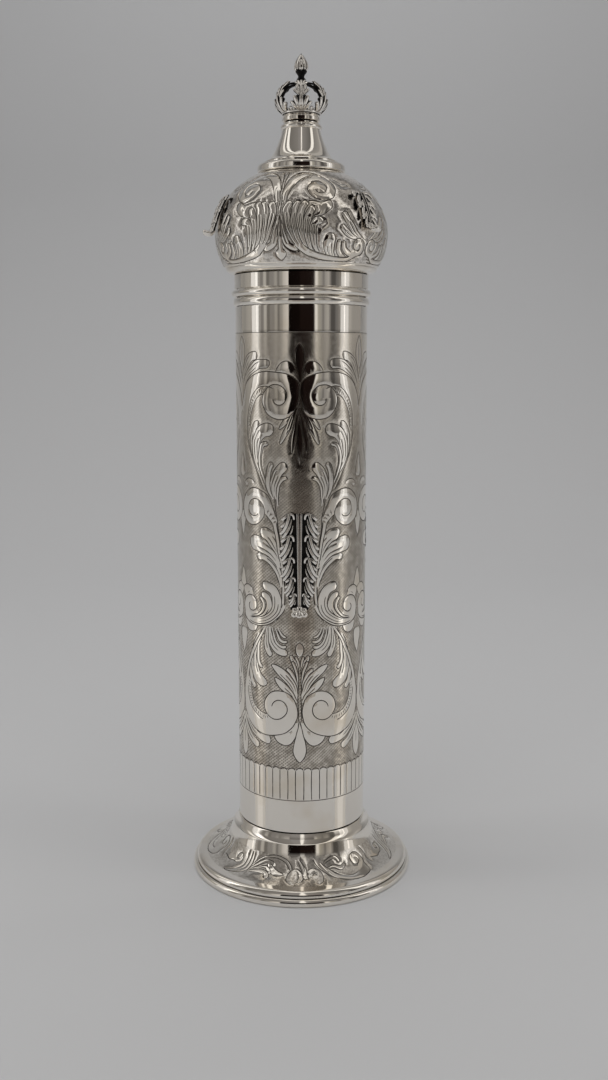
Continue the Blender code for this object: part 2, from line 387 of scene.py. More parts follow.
@dataclass(frozen=True)
class Scroll:
    """A band that runs into a volute: its outer edge, the spiral that this winds into, and its inner edge."""

    outer: Points
    spiral: Spiral
    inner: Points = ()
    closes_at: float = 0.6

    def shape(self, graver: Graver) -> Shape:
        """The scroll as that graver cuts it.

        Args:
            graver: the graver.

        Returns:
            The scroll's outline and lines.
        """
        winding = self.spiral.points()
        edge = spline([*self.outer, *[tuple(p) for p in winding[:2]]], graver.step)
        edge = np.concatenate([edge, winding[2:]])
        lines = [graver.cut(evenly(edge, graver.step), 2.0, 0.9, 1.1)]
        outline = np.concatenate([edge[:-(len(winding) - 2)], self.spiral.points(self.closes_at)[2:]])
        if self.inner:
            inner = spline(list(self.inner), graver.step)
            lines.append(graver.cut(inner, 0.5, 2.0))
            outline = np.concatenate([outline, inner])
        return Shape(outline, lines)


@dataclass(frozen=True)
class Ribbon:
    """A band filled with short cross cuts, between its own edge and the edge of the scroll beside it."""

    first: Points
    second: Points
    spacing: float = 1.15

    def shape(self, graver: Graver) -> Shape:
        """The ribbon as that graver cuts it.

        Args:
            graver: the graver.

        Returns:
            The ribbon's outline and lines.
        """
        first = spline(list(self.first), graver.step)
        second = spline(list(self.second), graver.step)
        lines = [graver.cut(first, 0.8, 1.5)]
        for place in np.linspace(0, 1, int(length_of(first) / self.spacing) + 1)[1:-1]:
            a, b = (edge[int(place * (len(edge) - 1))] for edge in (first, second))
            tick = np.array([a + (b - a) * t for t in (0.15, 0.5, 0.85)])
            lines.append(graver.cut(tick, 0.3, 0.3, 0.95))
        return Shape(np.concatenate([first, second[::-1]]), lines)


Motif = Frond | Petal | Lobe | Scroll | Ribbon


class Drawing:
    """Motifs laid one over the other: each hides the lines that it covers."""

    def __init__(self, graver: Graver) -> None:
        """Start an empty drawing.

        Args:
            graver: what cuts its lines.
        """
        self.graver = graver
        self.outlines: list[Array] = []
        self.lines: list[Line] = []

    def lay(self, *motifs: Motif) -> None:
        """Lay motifs over what is drawn already.

        Args:
            motifs: the motifs, with the last one uppermost.
        """
        for motif in motifs:
            shape = motif.shape(self.graver)
            self.lines = [part for line in self.lines for part in self.clipped(line, shape.outline)]
            self.lines += shape.lines
            self.outlines.append(shape.outline)

    def clear(self, low: float, high: float, width: float) -> None:
        """Leave a plain band polished all the way across."""
        corners = [(-1, low), (width + 1, low), (width + 1, high), (-1, high), (-1, low)]
        self.outlines.append(evenly(np.array(corners, float), self.graver.step))

    def stroke(self, points: Path, share: float = 1.0, fade: float = 1.5) -> None:
        """Cut one free line through the points."""
        self.lines.append(self.graver.cut(spline(points, self.graver.step), fade, fade, share))

    @staticmethod
    def clipped(line: Line, outline: Array) -> list[Line]:
        """The stretches of a line that lie outside an outline.

        Args:
            line: the line to clip.
            outline: the outline of the motif that covers it.

        Returns:
            The stretches that are long enough to show.
        """
        hidden = inside(outline, line.points)
        if not hidden.any():
            return [line]
        parts = []
        start = None
        for i, covered in enumerate([*hidden, True]):
            if not covered and start is None:
                start = i
            elif covered and start is not None:
                if i - start > 2:
                    first = max(start - 1, 0)
                    last = min(i + 1, len(line.points))
                    points = line.points[first:last].copy()
                    widths = line.half_widths[first:last].copy()
                    for end, beside, open_end in ((0, 1, first < start), (-1, -2, last > i)):
                        if open_end:
                            points[end] = 0.5 * (points[end] + points[beside])
                    parts.append(Line(points, widths))
                start = None
        return parts

    def covers(self, points: Array) -> Array:
        """Which points lie on any motif.

        Args:
            points: the points to test, one row each.

        Returns:
            One truth value for each point.
        """
        found = np.zeros(len(points), bool)
        for outline in self.outlines:
            found |= inside(outline, points)
        return found


# ---------------------------------------------------------------- surfaces


def turned_points(radius: Array, height: Array, azimuth: Array) -> Array:
    """Points in metres, from radii and heights in millimetres and azimuths in radians, front to +X."""
    x, y, z = np.broadcast_arrays(radius * np.sin(azimuth), -radius * np.cos(azimuth), height)
    return np.stack([x, y, z], axis=-1) * MM


class Face:
    """The outer face of a turned piece, unrolled into the plane of a drawing without bending any angle.

    In that plane one millimetre is one millimetre on the face where its radius equals the reference radius.
    """

    def __init__(self, profile: Path, reference: float, turn: float) -> None:
        """Take the face from its profile.

        Args:
            profile: (radius, height) points of the face, running upward, in millimetres.
            reference: the reference radius.
            turn: azimuth of the drawing's axis in degrees.
        """
        line = evenly(np.array(profile, float), FINE)
        self.radius, self.height = line.T
        self.reference = reference
        self.turn = math.radians(turn)
        step = np.linalg.norm(np.diff(line, axis=0), axis=1)
        middle = 0.5 * (self.radius[1:] + self.radius[:-1])
        self.rise = self.height[0] + np.concatenate([[0.0], np.cumsum(step * reference / middle)])
        self.outward = -leftward(line)

    @property
    def half_width(self) -> float:
        """Half the width of one repeat in the drawing."""
        return math.pi * self.reference / REPEATS

    def up_at_height(self, height: float) -> float:
        """Place along the drawing's upward direction of a height on the face."""
        return float(np.interp(height, self.height, self.rise))

    def up_at_radius(self, radius: float) -> float:
        """Place along the drawing's upward direction of a radius on the face, where it narrows upward."""
        return float(np.interp(-radius, -self.radius, self.rise))

    def along(self, degrees: float) -> float:
        """Place across the drawing of an angle from its axis."""
        return math.radians(degrees) * self.reference

    def scale(self, up: Array) -> Array:
        """Millimetres on the face for one millimetre in the drawing."""
        return np.interp(up, self.rise, self.radius) / self.reference

    def place(self, across: Array, up: Array, lift: Array | float = 0.0) -> Array:
        """Points in metres that stand off the face.

        Args:
            across: places across the drawing.
            up: places up the drawing.
            lift: distance from the face in millimetres, positive outward.

        Returns:
            The points, one row each.
        """
        radius = np.interp(up, self.rise, self.radius) + lift * np.interp(up, self.rise, self.outward[:, 0])
        height = np.interp(up, self.rise, self.height) + lift * np.interp(up, self.rise, self.outward[:, 1])
        return turned_points(radius, height, self.turn + across / self.reference)

    def axes(self, across: Array, up: Array) -> tuple[Array, Array, Array]:
        """Unit vectors of the face at places of the drawing.

        Args:
            across: places across the drawing.
            up: places up the drawing.

        Returns:
            The vectors across, those up the face and those out of it.
        """
        azimuth = self.turn + across / self.reference
        r = np.interp(up, self.rise, self.outward[:, 0])
        z = np.interp(up, self.rise, self.outward[:, 1])
        length = np.hypot(r, z)
        r, z = r / length, z / length
        sine, cosine = np.sin(azimuth), np.cos(azimuth)
        side = np.stack([cosine, sine, np.zeros_like(sine)], 1)
        rising = np.stack([-z * sine, z * cosine, r], 1)
        outward = np.stack([r * sine, -r * cosine, z], 1)
        return side, rising, outward


def put_in_scene(name: str, data: bpy.types.ID) -> bpy.types.Object:
    """Put an object with that name and data into the scene.

    Args:
        name: the object's name.
        data: its mesh, lamp or camera.

    Returns:
        The object.
    """
    made = bpy.data.objects.new(name, data)
    bpy.context.scene.collection.objects.link(made)
    return made


def takes_place(piece: bpy.types.Object, *nodes: str) -> None:
    """Let a piece ride the object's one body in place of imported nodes.

    Args:
        piece: the piece.
        nodes: the nodes that it stands for.
    """
    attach(piece, "root")
    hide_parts(*nodes)
    LOG.info("%s: %d faces", piece.name, len(piece.data.polygons))


@dataclass
class Block:
    """Faces of a skin: their points, corners, directions of the surface at each corner, and finishes."""

    points: Array
    faces: Array
    normals: Array
    finishes: Array


class Skin:
    """The whole surface of one piece, welded from blocks where their points meet, in millimetres."""

    weld: float = 0.002

    def __init__(self, *blocks: Block) -> None:
        """Take the blocks."""
        self.blocks = blocks

    def build(self, name: str, finishes: list[Material]) -> bpy.types.Object:
        """Make the object.

        Args:
            name: its name.
            finishes: the materials that the blocks number.

        Returns:
            The object, in the scene.
        """
        points = np.concatenate([block.points for block in self.blocks])
        keys = np.round(points / (self.weld * MM)).astype(np.int64)
        _, first, merged = np.unique(keys, axis=0, return_index=True, return_inverse=True)
        merged = merged.reshape(-1)
        faces: list[list[int]] = []
        normals: list[Array] = []
        numbers: list[Array] = []
        start = 0
        for block in self.blocks:
            corners = merged[block.faces + start]
            start += len(block.points)
            distinct = np.array([len(set(face)) for face in corners.tolist()])
            whole = distinct == corners.shape[1]
            faces += corners[whole].tolist()
            normals.append(block.normals[whole].reshape(-1, 3))
            numbers.append(block.finishes[whole])
            if corners.shape[1] == 4:
                for face, normal, finish in zip(corners[~whole].tolist(), block.normals[~whole],
                                                block.finishes[~whole]):
                    kept = [k for k in range(4) if face[k] != face[k - 1]]
                    if len(kept) == 3 and len({face[k] for k in kept}) == 3:
                        faces.append([face[k] for k in kept])
                        normals.append(normal[kept])
                        numbers.append(np.array([finish]))
        mesh = bpy.data.meshes.new(name)
        mesh.from_pydata(points[first].tolist(), [], faces)
        for finish in finishes:
            mesh.materials.append(finish)
        mesh.polygons.foreach_set("material_index", np.concatenate(numbers).astype(np.int32))
        mesh.shade_smooth()
        mesh.normals_split_custom_set(np.concatenate(normals).tolist())
        return put_in_scene(name, mesh)


def turned_block(profile: Path, columns: int, turn: float = 0.0, crease: float = 32) -> Block:
    """Faces of a turned surface, with the first of a piece's finishes.

    Args:
        profile: (radius, height) points in millimetres, with the surface's outer side on the right.
        columns: number of faces round the axis.
        turn: azimuth of the first column in degrees.
        crease: edges sharper than this angle in degrees stay sharp.

    Returns:
        The faces.
    """
    apart = [math.dist(p, before) > 1e-4 for p, before in zip(profile[1:], profile)]
    line = np.array([p for p, kept in zip(profile, [True, *apart]) if kept], float)
    azimuth = math.radians(turn) + np.arange(columns) * math.tau / columns
    points = turned_points(line[:, :1], line[:, 1:], azimuth[None, :])
    tangent = unit(np.diff(line, axis=0))
    outward = np.stack([tangent[:, 1], -tangent[:, 0]], axis=1)
    lower = outward.copy()
    upper = outward.copy()
    smooth = np.sum(outward[1:] * outward[:-1], axis=1) > math.cos(math.radians(crease))
    shared = unit(outward[1:] + outward[:-1])
    lower[1:][smooth] = shared[smooth]
    upper[:-1][smooth] = shared[smooth]
    i, j = np.meshgrid(np.arange(len(line) - 1), np.arange(columns), indexing="ij")
    i, j = i.ravel(), j.ravel()
    k = (j + 1) % columns
    faces = np.stack([i * columns + j, i * columns + k, (i + 1) * columns + k, (i + 1) * columns + j], axis=1)
    corners = []
    for source, column in ((lower, j), (lower, k), (upper, k), (upper, j)):
        r, z = source[i].T
        corners.append(np.stack([r * np.sin(azimuth[column]), -r * np.cos(azimuth[column]), z], axis=1))
    return Block(points.reshape(-1, 3), faces, np.stack(corners, axis=1), np.zeros(len(faces), int))


class Cut(Enum):
    """What a face of a worked sheet is: polished motif, matted ground, or the bottom of a cut."""

    MOTIF = 0
    GROUND = 1
    GROOVE = 2


@dataclass(frozen=True)
class Hand:
    """The slight wavering of work done by hand: how far lines stray and over what length, in millimetres."""

    stray: float = 0.12
    length: float = 13.0
    waves: int = 36
    seed: int = 7

    def waver(self, across: Array, up: Array, girth: float) -> tuple[Array, Array]:
        """How far each place strays, the same after one turn of the girth.

        Args:
            across: places across the drawing.
            up: places up the drawing.
            girth: length of one turn in the drawing.

        Returns:
            The strays across and up.
        """
        chance = np.random.default_rng(self.seed)
        moves = []
        for _ in range(2):
            total = np.zeros_like(across)
            for _ in range(self.waves):
                turns = chance.integers(-int(girth / self.length), int(girth / self.length) + 1)
                rate = chance.normal(0, 1 / self.length)
                phase = chance.uniform(0, math.tau)
                total += np.sin(math.tau * (turns * across / girth + rate * up) + phase)
            moves.append(self.stray * total / math.sqrt(self.waves / 2))
        return moves[0], moves[1]


@dataclass(frozen=True)
class Tooling:
    """How a face is worked, in millimetres: its cuts, the sheet beside them, and how close points are set."""

    depth: float = 0.24
    grid: float = 2.6
    swell: float = 0.10
    swell_reach: float = 0.9
    columns: int = 22
    hand: Hand = field(default_factory=Hand)
    # how far above the lower edge the hand stays steady, and over what distance it then begins to stray
    steady: float = 0.0
    easing: float = 4.0
    # thinner cuts have no edges of their own; lines keep off the ends of the field and snap to its sides
    thinnest: float = 0.06
    margin: float = 0.25
    snap: float = 0.04
    # points between the cuts: their rows' spacing and how far they keep off others, as shares of the grid
    row: float = 0.87
    clearance: float = 0.45
    # distance between samples of a cut, and the share of its width that shows as its bottom
    sample: float = 0.2
    bottom: float = 0.85


class Relief:
    """A drawing worked into a face: half a repeat, its mirror image, and the repeats round the axis."""

    def __init__(self, drawing: Drawing, face: Face, low: float, high: float, tooling: Tooling,
                 mirrored: bool = True) -> None:
        """Work one half of a repeat, or a whole one.

        Args:
            drawing: what is worked.
            face: the face that takes it.
            low: lower edge of the worked field in the drawing.
            high: its upper edge.
            tooling: depths and spacings.
            mirrored: whether the drawing is half a repeat, with its mirror image beside it.
        """
        self.face = face
        self.low = low
        self.high = high
        self.tooling = tooling
        self.mirrored = mirrored
        self.width = face.half_width * (1 if mirrored else 2)
        self.corners: list[Point] = []
        self.edges: list[tuple[int, int]] = []
        self.border()
        for line in drawing.lines:
            self.groove(line)
        self.fill()
        found = delaunay_2d_cdt([Vector(p) for p in self.corners], self.edges, [], 0, 1e-3, False)
        self.points = np.array([tuple(p) for p in found[0]])
        faces = np.array([f for f in found[2] if len(f) == 3])
        a, b, c = (self.points[faces[:, k]] for k in range(3))
        area = (b[:, 0] - a[:, 0]) * (c[:, 1] - a[:, 1]) - (b[:, 1] - a[:, 1]) * (c[:, 0] - a[:, 0])
        faces = np.where(area[:, None] < 0, faces[:, ::-1], faces)
        # slivers without an area are left out
        self.faces = faces[np.abs(area) > 1e-5]
        self.measure(drawing)

    def border(self) -> None:
        """Points on the edges of the half repeat, as many along its foot and top as there are columns."""
        pitch = self.tooling.grid
        for x in np.linspace(0, self.width, self.tooling.columns * (1 if self.mirrored else 2) + 1):
            self.corners += [(float(x), self.low), (float(x), self.high)]
        for y in np.arange(self.low + pitch, self.high - 0.5 * pitch, pitch):
            self.corners += [(0.0, float(y)), (self.width, float(y))]

    def groove(self, line: Line) -> None:
        """Take a cut's middle and both its edges into the mesh.

        Args:
            line: the cut.
        """
        points = line.points
        if len(points) < 3:
            return
        half = (line.half_widths / self.face.scale(points[:, 1]))[:, None]
        self.trace(points)
        for side in (-1, 1):
            edge = points + leftward(points) * (side * half)
            self.trace(np.where(half > self.tooling.thinnest, edge, points))

    def trace(self, points: Array) -> None:
        """Add a line of points that stops at the edges of the half repeat.

        Args:
            points: the points, one row each.
        """
        lowest, highest = self.low + self.tooling.margin, self.high - self.tooling.margin
        previous: Point | None = None
        index: int | None = None
        for x, y in points.tolist():
            snapped = (self.snapped(x), y)
            held = 0 <= snapped[0] <= self.width and lowest < y < highest
            if held:
                if previous is not None and index is None:
                    index = self.crossing(previous, snapped)
                if snapped != previous:
                    self.corners.append(snapped)
                    if index is not None:
                        self.edges.append((index, len(self.corners) - 1))
                    index = len(self.corners) - 1
            elif index is not None and previous is not None:
                end = self.crossing(snapped, previous)
                if end is not None:
                    self.edges.append((index, end))
                index = None
            previous = snapped

    def snapped(self, x: float) -> float:
        """The place, moved onto a side of the half repeat that it nearly touches."""
        return next((side for side in (0.0, self.width) if abs(x - side) < self.tooling.snap), x)

    def crossing(self, outside: Point, within: Point) -> int | None:
        """Add the point where a step enters the half repeat from a side.

        Args:
            outside: where the step begins.
            within: where it ends.

        Returns:
            Number of the point, or nothing if the step doesn't come in from a side.
        """
        side = 0.0 if outside[0] < 0 else self.width
        if 0 <= outside[0] <= self.width or within[0] == side:
            return None
        share = (side - outside[0]) / (within[0] - outside[0])
        self.corners.append((side, outside[1] + share * (within[1] - outside[1])))
        return len(self.corners) - 1

    def fill(self) -> None:
        """Points between the cuts, in staggered rows."""
        pitch = self.tooling.grid
        taken = self.tree(self.corners)
        rows = np.arange(self.low + 0.5 * pitch, self.high - 0.3 * pitch, self.tooling.row * pitch)
        for row, y in enumerate(rows):
            for x in np.arange(0.5 * pitch * (1 + row % 2), self.width - 0.3 * pitch, pitch):
                if taken.find((x, y, 0))[2] > self.tooling.clearance * pitch:
                    self.corners.append((float(x), float(y)))

    def measure(self, drawing: Drawing) -> None:
        """Find each point's depth and the slope beside its nearest cut, and what each face is.

        Args:
            drawing: what is worked.
        """
        samples = []
        for line in drawing.lines:
            fine = evenly(np.column_stack([line.points, line.half_widths]), self.tooling.sample)
            samples.append(np.column_stack([fine, unit(np.gradient(fine[:, :2], axis=0))]))
        table = np.concatenate(samples)
        tree = self.tree(table[:, :2].tolist())
        distance, half, away = self.from_cuts(self.points, tree, table)
        size = self.face.scale(self.points[:, 1])
        share = half / drawing.graver.half_width
        self.depths = self.tooling.depth * share * np.clip(1 - distance * size / np.maximum(half, 1e-6), 0, 1)
        slope = self.tooling.swell * np.exp(-np.maximum(distance * size - half, 0) / self.tooling.swell_reach)
        self.slopes = away * (slope * np.minimum(1, 2 * share))[:, None]
        middles = self.points[self.faces].mean(axis=1)
        distance, half, _ = self.from_cuts(middles, tree, table)
        kinds = np.where(drawing.covers(middles), Cut.MOTIF.value, Cut.GROUND.value)
        in_cut = distance * self.face.scale(middles[:, 1]) < self.tooling.bottom * half
        self.kinds = np.where(in_cut, Cut.GROOVE.value, kinds)

    @staticmethod
    def tree(places: list[Point]) -> KDTree:
        """A tree that finds the nearest of some places.

        Args:
            places: the places in the drawing.

        Returns:
            The tree.
        """
        tree = KDTree(len(places))
        for number, (x, y) in enumerate(places):
            tree.insert((x, y, 0), number)
        tree.balance()
        return tree

    def from_cuts(self, points: Array, tree: KDTree, table: Array) -> tuple[Array, Array, Array]:
        """Distance of each point from its nearest cut, half the cut's width there, and the way from it.

        Args:
            points: the points.
            tree: places of samples along the cuts.
            table: the samples: place, half width and direction.

        Returns:
            The distances, the half widths and unit vectors that point away from the cut.
        """
        nearest = np.array([tree.find((x, y, 0))[1] for x, y in points.tolist()])
        sample = table[nearest]
        gap = points - sample[:, :2]
        along = np.sum(gap * sample[:, 3:5], axis=1)
        # a sample stands for the cut on both sides of it, a little more than half way to the next
        reach = 0.6 * self.tooling.sample
        beside = gap - sample[:, 3:5] * np.clip(along, -reach, reach)[:, None]
        distance = np.linalg.norm(beside, axis=1)
        return distance, sample[:, 2], beside / np.maximum(distance, 1e-6)[:, None]

    def block(self) -> Block:
        """The whole worked field.

        Returns:
            Its faces, all the way round.
        """
        repeat_width = 2 * self.face.half_width
        girth = repeat_width * REPEATS
        all_points, all_faces, all_slopes, all_depths, all_kinds = [], [], [], [], []
        count = 0
        for repeat in range(REPEATS):
            for side in (1, -1) if self.mirrored else (1,):
                all_points.append(self.points * (side, 1) + (repeat_width * repeat, 0))
                all_slopes.append(self.slopes * (side, 1))
                all_depths.append(self.depths)
                all_faces.append((self.faces if side > 0 else self.faces[:, ::-1]) + count)
                all_kinds.append(self.kinds)
                count += len(self.points)
        across, up = np.concatenate(all_points).T
        inward = np.minimum(up - self.low - self.tooling.steady, self.high - up)
        edge = np.clip(inward / self.tooling.easing, 0, 1)
        stray_across, stray_up = self.tooling.hand.waver(across, up, girth)
        held = edge * edge * (3 - 2 * edge)
        across, up = across + stray_across * held, up + stray_up * held
        points = self.face.place(across, up, -np.concatenate(all_depths))
        side_axis, up_axis, out_axis = self.face.axes(across, up)
        slopes = np.concatenate(all_slopes)
        normals = unit(out_axis - side_axis * slopes[:, :1] - up_axis * slopes[:, 1:])
        faces = np.concatenate(all_faces)
        kinds = np.concatenate(all_kinds)
        corner_normals = normals[faces]
        cuts = kinds == Cut.GROOVE.value
        a, b, c = (points[faces[cuts, k]] for k in range(3))
        corner_normals[cuts] = unit(np.cross(b - a, c - a), 1e-15)[:, None, :]
        return Block(points, faces, corner_normals, kinds)


# ---------------------------------------------------------------- materials


def colour(code: str) -> tuple[float, float, float, float]:
    """Linear colour of an sRGB hex code.

    Args:
        code: the six digits.

    Returns:
        Red, green, blue and a full alpha.
    """
    channels = [int(code[k:k + 2], 16) / 255 for k in (0, 2, 4)]
    linear = [c / 12.92 if c <= 0.04045 else ((c + 0.055) / 1.055) ** 2.4 for c in channels]
    return (*linear, 1.0)


class Graph:
    """The node tree of a material or of the world."""

    def __init__(self, name: str, world: bool = False) -> None:
        """Start a material, or the world, with a shader and nothing else.

        Args:
            name: its name.
            world: whether it is the world.
        """
        self.material = (bpy.data.worlds if world else bpy.data.materials).new(name)
        self.material.use_nodes = True
        self.tree = self.material.node_tree
        self.shader = self.tree.nodes["Background" if world else "Principled BSDF"]

    def add(self, kind: str, *inputs: Socket | tuple[float, ...] | float | None, output: int = 0,
            **settings: object) -> Socket:
        """Add a node with its settings and links.

        Args:
            kind: the node's type, without its prefix.
            inputs: what the inputs in use take, in their order: another node's output, a constant, or None
                to leave one as it is.
            output: which of the outputs in use is wanted.
            settings: values for the node's properties.

        Returns:
            The output.
        """
        made = self.tree.nodes.new("ShaderNode" + kind)
        for name, value in settings.items():
            setattr(made, name, value)
        in_use = [socket for socket in made.inputs if socket.enabled]
        for socket, value in zip(in_use, inputs):
            if isinstance(value, Socket):
                self.tree.links.new(value, socket)
            elif value is not None:
                socket.default_value = value
        return [socket for socket in made.outputs if socket.enabled][output]

    def set(self, **values: object) -> None:
        """Set constants on the shader's inputs, named with underscores for spaces."""
        for key, value in values.items():
            self.shader.inputs[key.replace("_", " ")].default_value = value

    def feed(self, name: str, output: Socket) -> None:
        """Let an output drive one of the shader's inputs."""
        self.tree.links.new(output, self.shader.inputs[name])

    def place(self, size: float | None = None,
              stretch: tuple[float, float, float] = (1, 1, 1)) -> Socket:
        """The object's own coordinates.

        Args:
            size: how many millimetres one unit stands for; without it, one unit is a metre.
            stretch: how much closer a pattern lies along each axis.

        Returns:
            The output with the coordinates.
        """
        own = self.add("TexCoord", output=3)
        if size is None:
            return own
        return self.add("Mapping", own, None, None, tuple(1000 * s / size for s in stretch))

    def patches(self, size: float, detail: float = 2.0,
                stretch: tuple[float, float, float] = (1, 1, 1)) -> Socket:
        """Soft patches about that many millimetres wide, as a value from 0 to 1."""
        return self.add("TexNoise", self.place(size, stretch), 1.0, detail)

    def climb(self, low: float, high: float, most: float) -> Socket:
        """A value that grows from nothing at one height to its most at another, heights in millimetres."""
        height = self.add("SeparateXYZ", self.place(), output=2)
        return self.add("MapRange", height, low * MM, high * MM, 0, most)

    def crossed(self, pitch: float, radius: float = TUBE_RADIUS, slant: Point = (0.64, 0.77)) -> Socket:
        """Slanting cuts round the axis, and fainter ones across them.

        Args:
            pitch: millimetres from one cut to the next.
            radius: radius in millimetres of the face that they run round.
            slant: how fast they turn round the axis and how fast they climb.

        Returns:
            The output with a value from 0 in a cut to 1 between two.
        """
        x, y, z = self.add("SeparateXYZ", self.place()).node.outputs
        angle = self.add("Math", x, y, operation="ARCTAN2")
        round_way = self.add("Math", angle, radius * slant[0] * math.tau / pitch, operation="MULTIPLY")
        up_way = self.add("Math", z, slant[1] * math.tau / (pitch * MM), operation="MULTIPLY")
        strong, faint = [
            self.add("Math", self.add("Math", round_way, up_way, operation=way), operation="SINE")
            for way in ("ADD", "SUBTRACT")]
        fainter = self.add("Math", faint, 0.5, operation="MULTIPLY")
        both = self.add("Math", strong, fainter, operation="MAXIMUM")
        return self.add("MapRange", both, -0.6, 1.0, 0, 1)


@dataclass(frozen=True)
class MirrorSilver:
    """Polished sterling silver: bright, a little warm, with the faint bloom of handling."""

    name: str = "polished_silver"
    clean: str = "F8F3EB"
    bloom: str = "E6DBCA"

    def material(self) -> Material:
        """Make the material.

        Returns:
            The material.
        """
        graph = Graph(self.name)
        # a faint yellowish bloom in soft patches, where the silver has begun to tarnish
        bloomed = graph.add("MapRange", graph.patches(26, 3), 0.52, 0.78, 0, 1)
        graph.feed("Base Color", graph.add("Mix", bloomed, colour(self.clean), colour(self.bloom),
                                           data_type="RGBA"))
        # smears of handling dull the mirror here and there
        smears = graph.patches(7, 4, (1, 1, 0.4))
        graph.feed("Roughness", graph.add("MapRange", smears, 0.35, 0.75, 0.035, 0.13))
        graph.set(Metallic=1.0)
        return graph.material


@dataclass(frozen=True)
class Niello:
    """Sulphide left in the cuts: dark and dull, thinner where a cloth has caught it, and painted lighter high
    up for the light there.
    """

    name: str = "oxidised_cuts"
    dark: str = "4A4540"
    worn_and_lit: str = "8F8880"

    def material(self) -> Material:
        """Make the material.

        Returns:
            The material.
        """
        graph = Graph(self.name)
        # the black goes grey-brown in stretches of a line, as it does when the piece is polished,
        # and from the upper half of the tube upward it is painted lighter still, a painted highlight for the
        # light there
        stretches = graph.add("MapRange", graph.patches(3.5, 3), 0.42, 0.68, 0, 1)
        wear_and_light = graph.add("Math", stretches, graph.climb(175, 235, 0.45), operation="ADD")
        graph.feed("Base Color", graph.add("Mix", wear_and_light, colour(self.dark), colour(self.worn_and_lit),
                                           data_type="RGBA"))
        graph.feed("Roughness", graph.add("MapRange", wear_and_light, 0, 1, 0.5, 0.3))
        graph.set(Metallic=1.0)
        return graph.material


@dataclass(frozen=True)
class OxidisedCasting:
    """Cast silver, blackened and then rubbed: bright on its high places, black wherever it lies closed in."""

    name: str = "oxidised_cast_silver"
    rubbed: str = "F9F5EF"
    black: str = "0B0A0A"
    reach: float = 1.4

    def material(self) -> Material:
        """Make the material.

        Returns:
            The material.
        """
        graph = Graph(self.name)
        # how open the surface is tells where the cloth reached; a fine mottle breaks the edge of the black
        open_sky = graph.add("AmbientOcclusion", None, self.reach * MM, output=1, samples=12)
        mottle = graph.add("MapRange", graph.patches(0.8, 2), 0.3, 0.7, -0.10, 0.10)
        openness = graph.add("Math", open_sky, mottle, operation="ADD")
        rubbed = graph.add("MapRange", openness, 0.5, 0.76, 0, 1)
        graph.feed("Base Color", graph.add("Mix", rubbed, colour(self.black), colour(self.rubbed),
                                           data_type="RGBA"))
        graph.feed("Roughness", graph.add("MapRange", rubbed, 0, 1, 0.55, 0.16))
        graph.set(Metallic=1.0)
        return graph.material


@dataclass(frozen=True)
class BlackedHollow:
    """Hollows of the castings, where the oxide was never rubbed off."""

    name: str = "blackened_hollows"
    black: str = "090808"
    brown: str = "2B2522"

    def material(self) -> Material:
        """Make the material.

        Returns:
            The material.
        """
        graph = Graph(self.name)
        # the black turns brownish in patches, and the rough skin of the casting gives it a dull broken sheen
        patches = graph.patches(2.2, 4)
        brownish = graph.add("MapRange", patches, 0.45, 0.75, 0, 1)
        graph.feed("Base Color", graph.add("Mix", brownish, colour(self.black), colour(self.brown),
                                           data_type="RGBA"))
        graph.feed("Roughness", graph.add("MapRange", patches, 0.3, 0.7, 0.6, 0.38))
        graph.set(Metallic=0.6)
        return graph.material


@dataclass(frozen=True)
class MattedSilver:
    """Ground worked with rows of fine crossing cuts, which scatter the light and let the motifs stand out."""

    name: str = "matted_silver"
    high: str = "F6EFE4"
    low: str = "7D756A"
    pitch: float = 1.18

    def material(self) -> Material:
        """Make the material.

        Returns:
            The material.
        """
        graph = Graph(self.name)
        # the real cuts lie about half a millimetre apart and are drawn at more than one, so that they show
        crossed = graph.crossed(self.pitch)
        uneven = graph.patches(1.6, 3)
        strength = graph.add("MapRange", uneven, 0.3, 0.7, 0.55, 1.0)
        cuts = graph.add("Math", crossed, strength, operation="MULTIPLY")
        # oxide lies in the cuts, more of it in some places, and makes the ground darker than the motifs
        stain = graph.add("MapRange", graph.patches(3.0, 4), 0.36, 0.64, 0.55, 1.45)
        bright = graph.add("Math", cuts, stain, operation="MULTIPLY")
        # up the tube the cuts show less, and towards the top the ground is painted lighter: a painted
        # highlight for the light that it catches from the lamps at the sides and above
        worn_and_lit = graph.climb(110, 200, 0.6)
        kept = graph.add("Math", bright, graph.add("Math", 1.0, worn_and_lit, operation="SUBTRACT"),
                         operation="MULTIPLY")
        even = graph.add("Math", worn_and_lit, 0.42, operation="MULTIPLY")
        bright = graph.add("Math", kept, even, operation="ADD")
        bright = graph.add("Math", bright, graph.climb(190, 265, 0.7), operation="ADD")
        graph.feed("Base Color", graph.add("Mix", bright, colour(self.low), colour(self.high),
                                           data_type="RGBA"))
        graph.feed("Roughness", graph.add("MapRange", uneven, 0.3, 0.7, 0.15, 0.22))
        graph.set(Metallic=1.0)
        return graph.material


@dataclass(frozen=True)
class StippledSilver:
    """Ground pricked all over with a punch, on the dome and the foot."""

    name: str = "stippled_silver"
    high: str = "F5F0E9"
    low: str = "938B81"
    pitch: float = 0.75
    roughness: Point = (0.12, 0.20)

    def material(self) -> Material:
        """Make the material.

        Returns:
            The material.
        """
        graph = Graph(self.name)
        # round pricks of the punch, coarsened from half a millimetre to three quarters, dark at their bottoms
        from_prick = graph.add("TexVoronoi", graph.place(self.pitch), 1.0)
        pricks = graph.add("MapRange", from_prick, 0.0, 0.6, 0.35, 1)
        uneven = graph.patches(1.3, 3)
        stain = graph.add("MapRange", uneven, 0.34, 0.66, 0.45, 1.3)
        bright = graph.add("Math", pricks, stain, operation="MULTIPLY")
        graph.feed("Base Color", graph.add("Mix", bright, colour(self.low), colour(self.high),
                                           data_type="RGBA"))
        graph.feed("Roughness", graph.add("MapRange", uneven, 0.3, 0.7, *self.roughness))
        graph.set(Metallic=1.0)
        return graph.material


# ---------------------------------------------------------------- the case


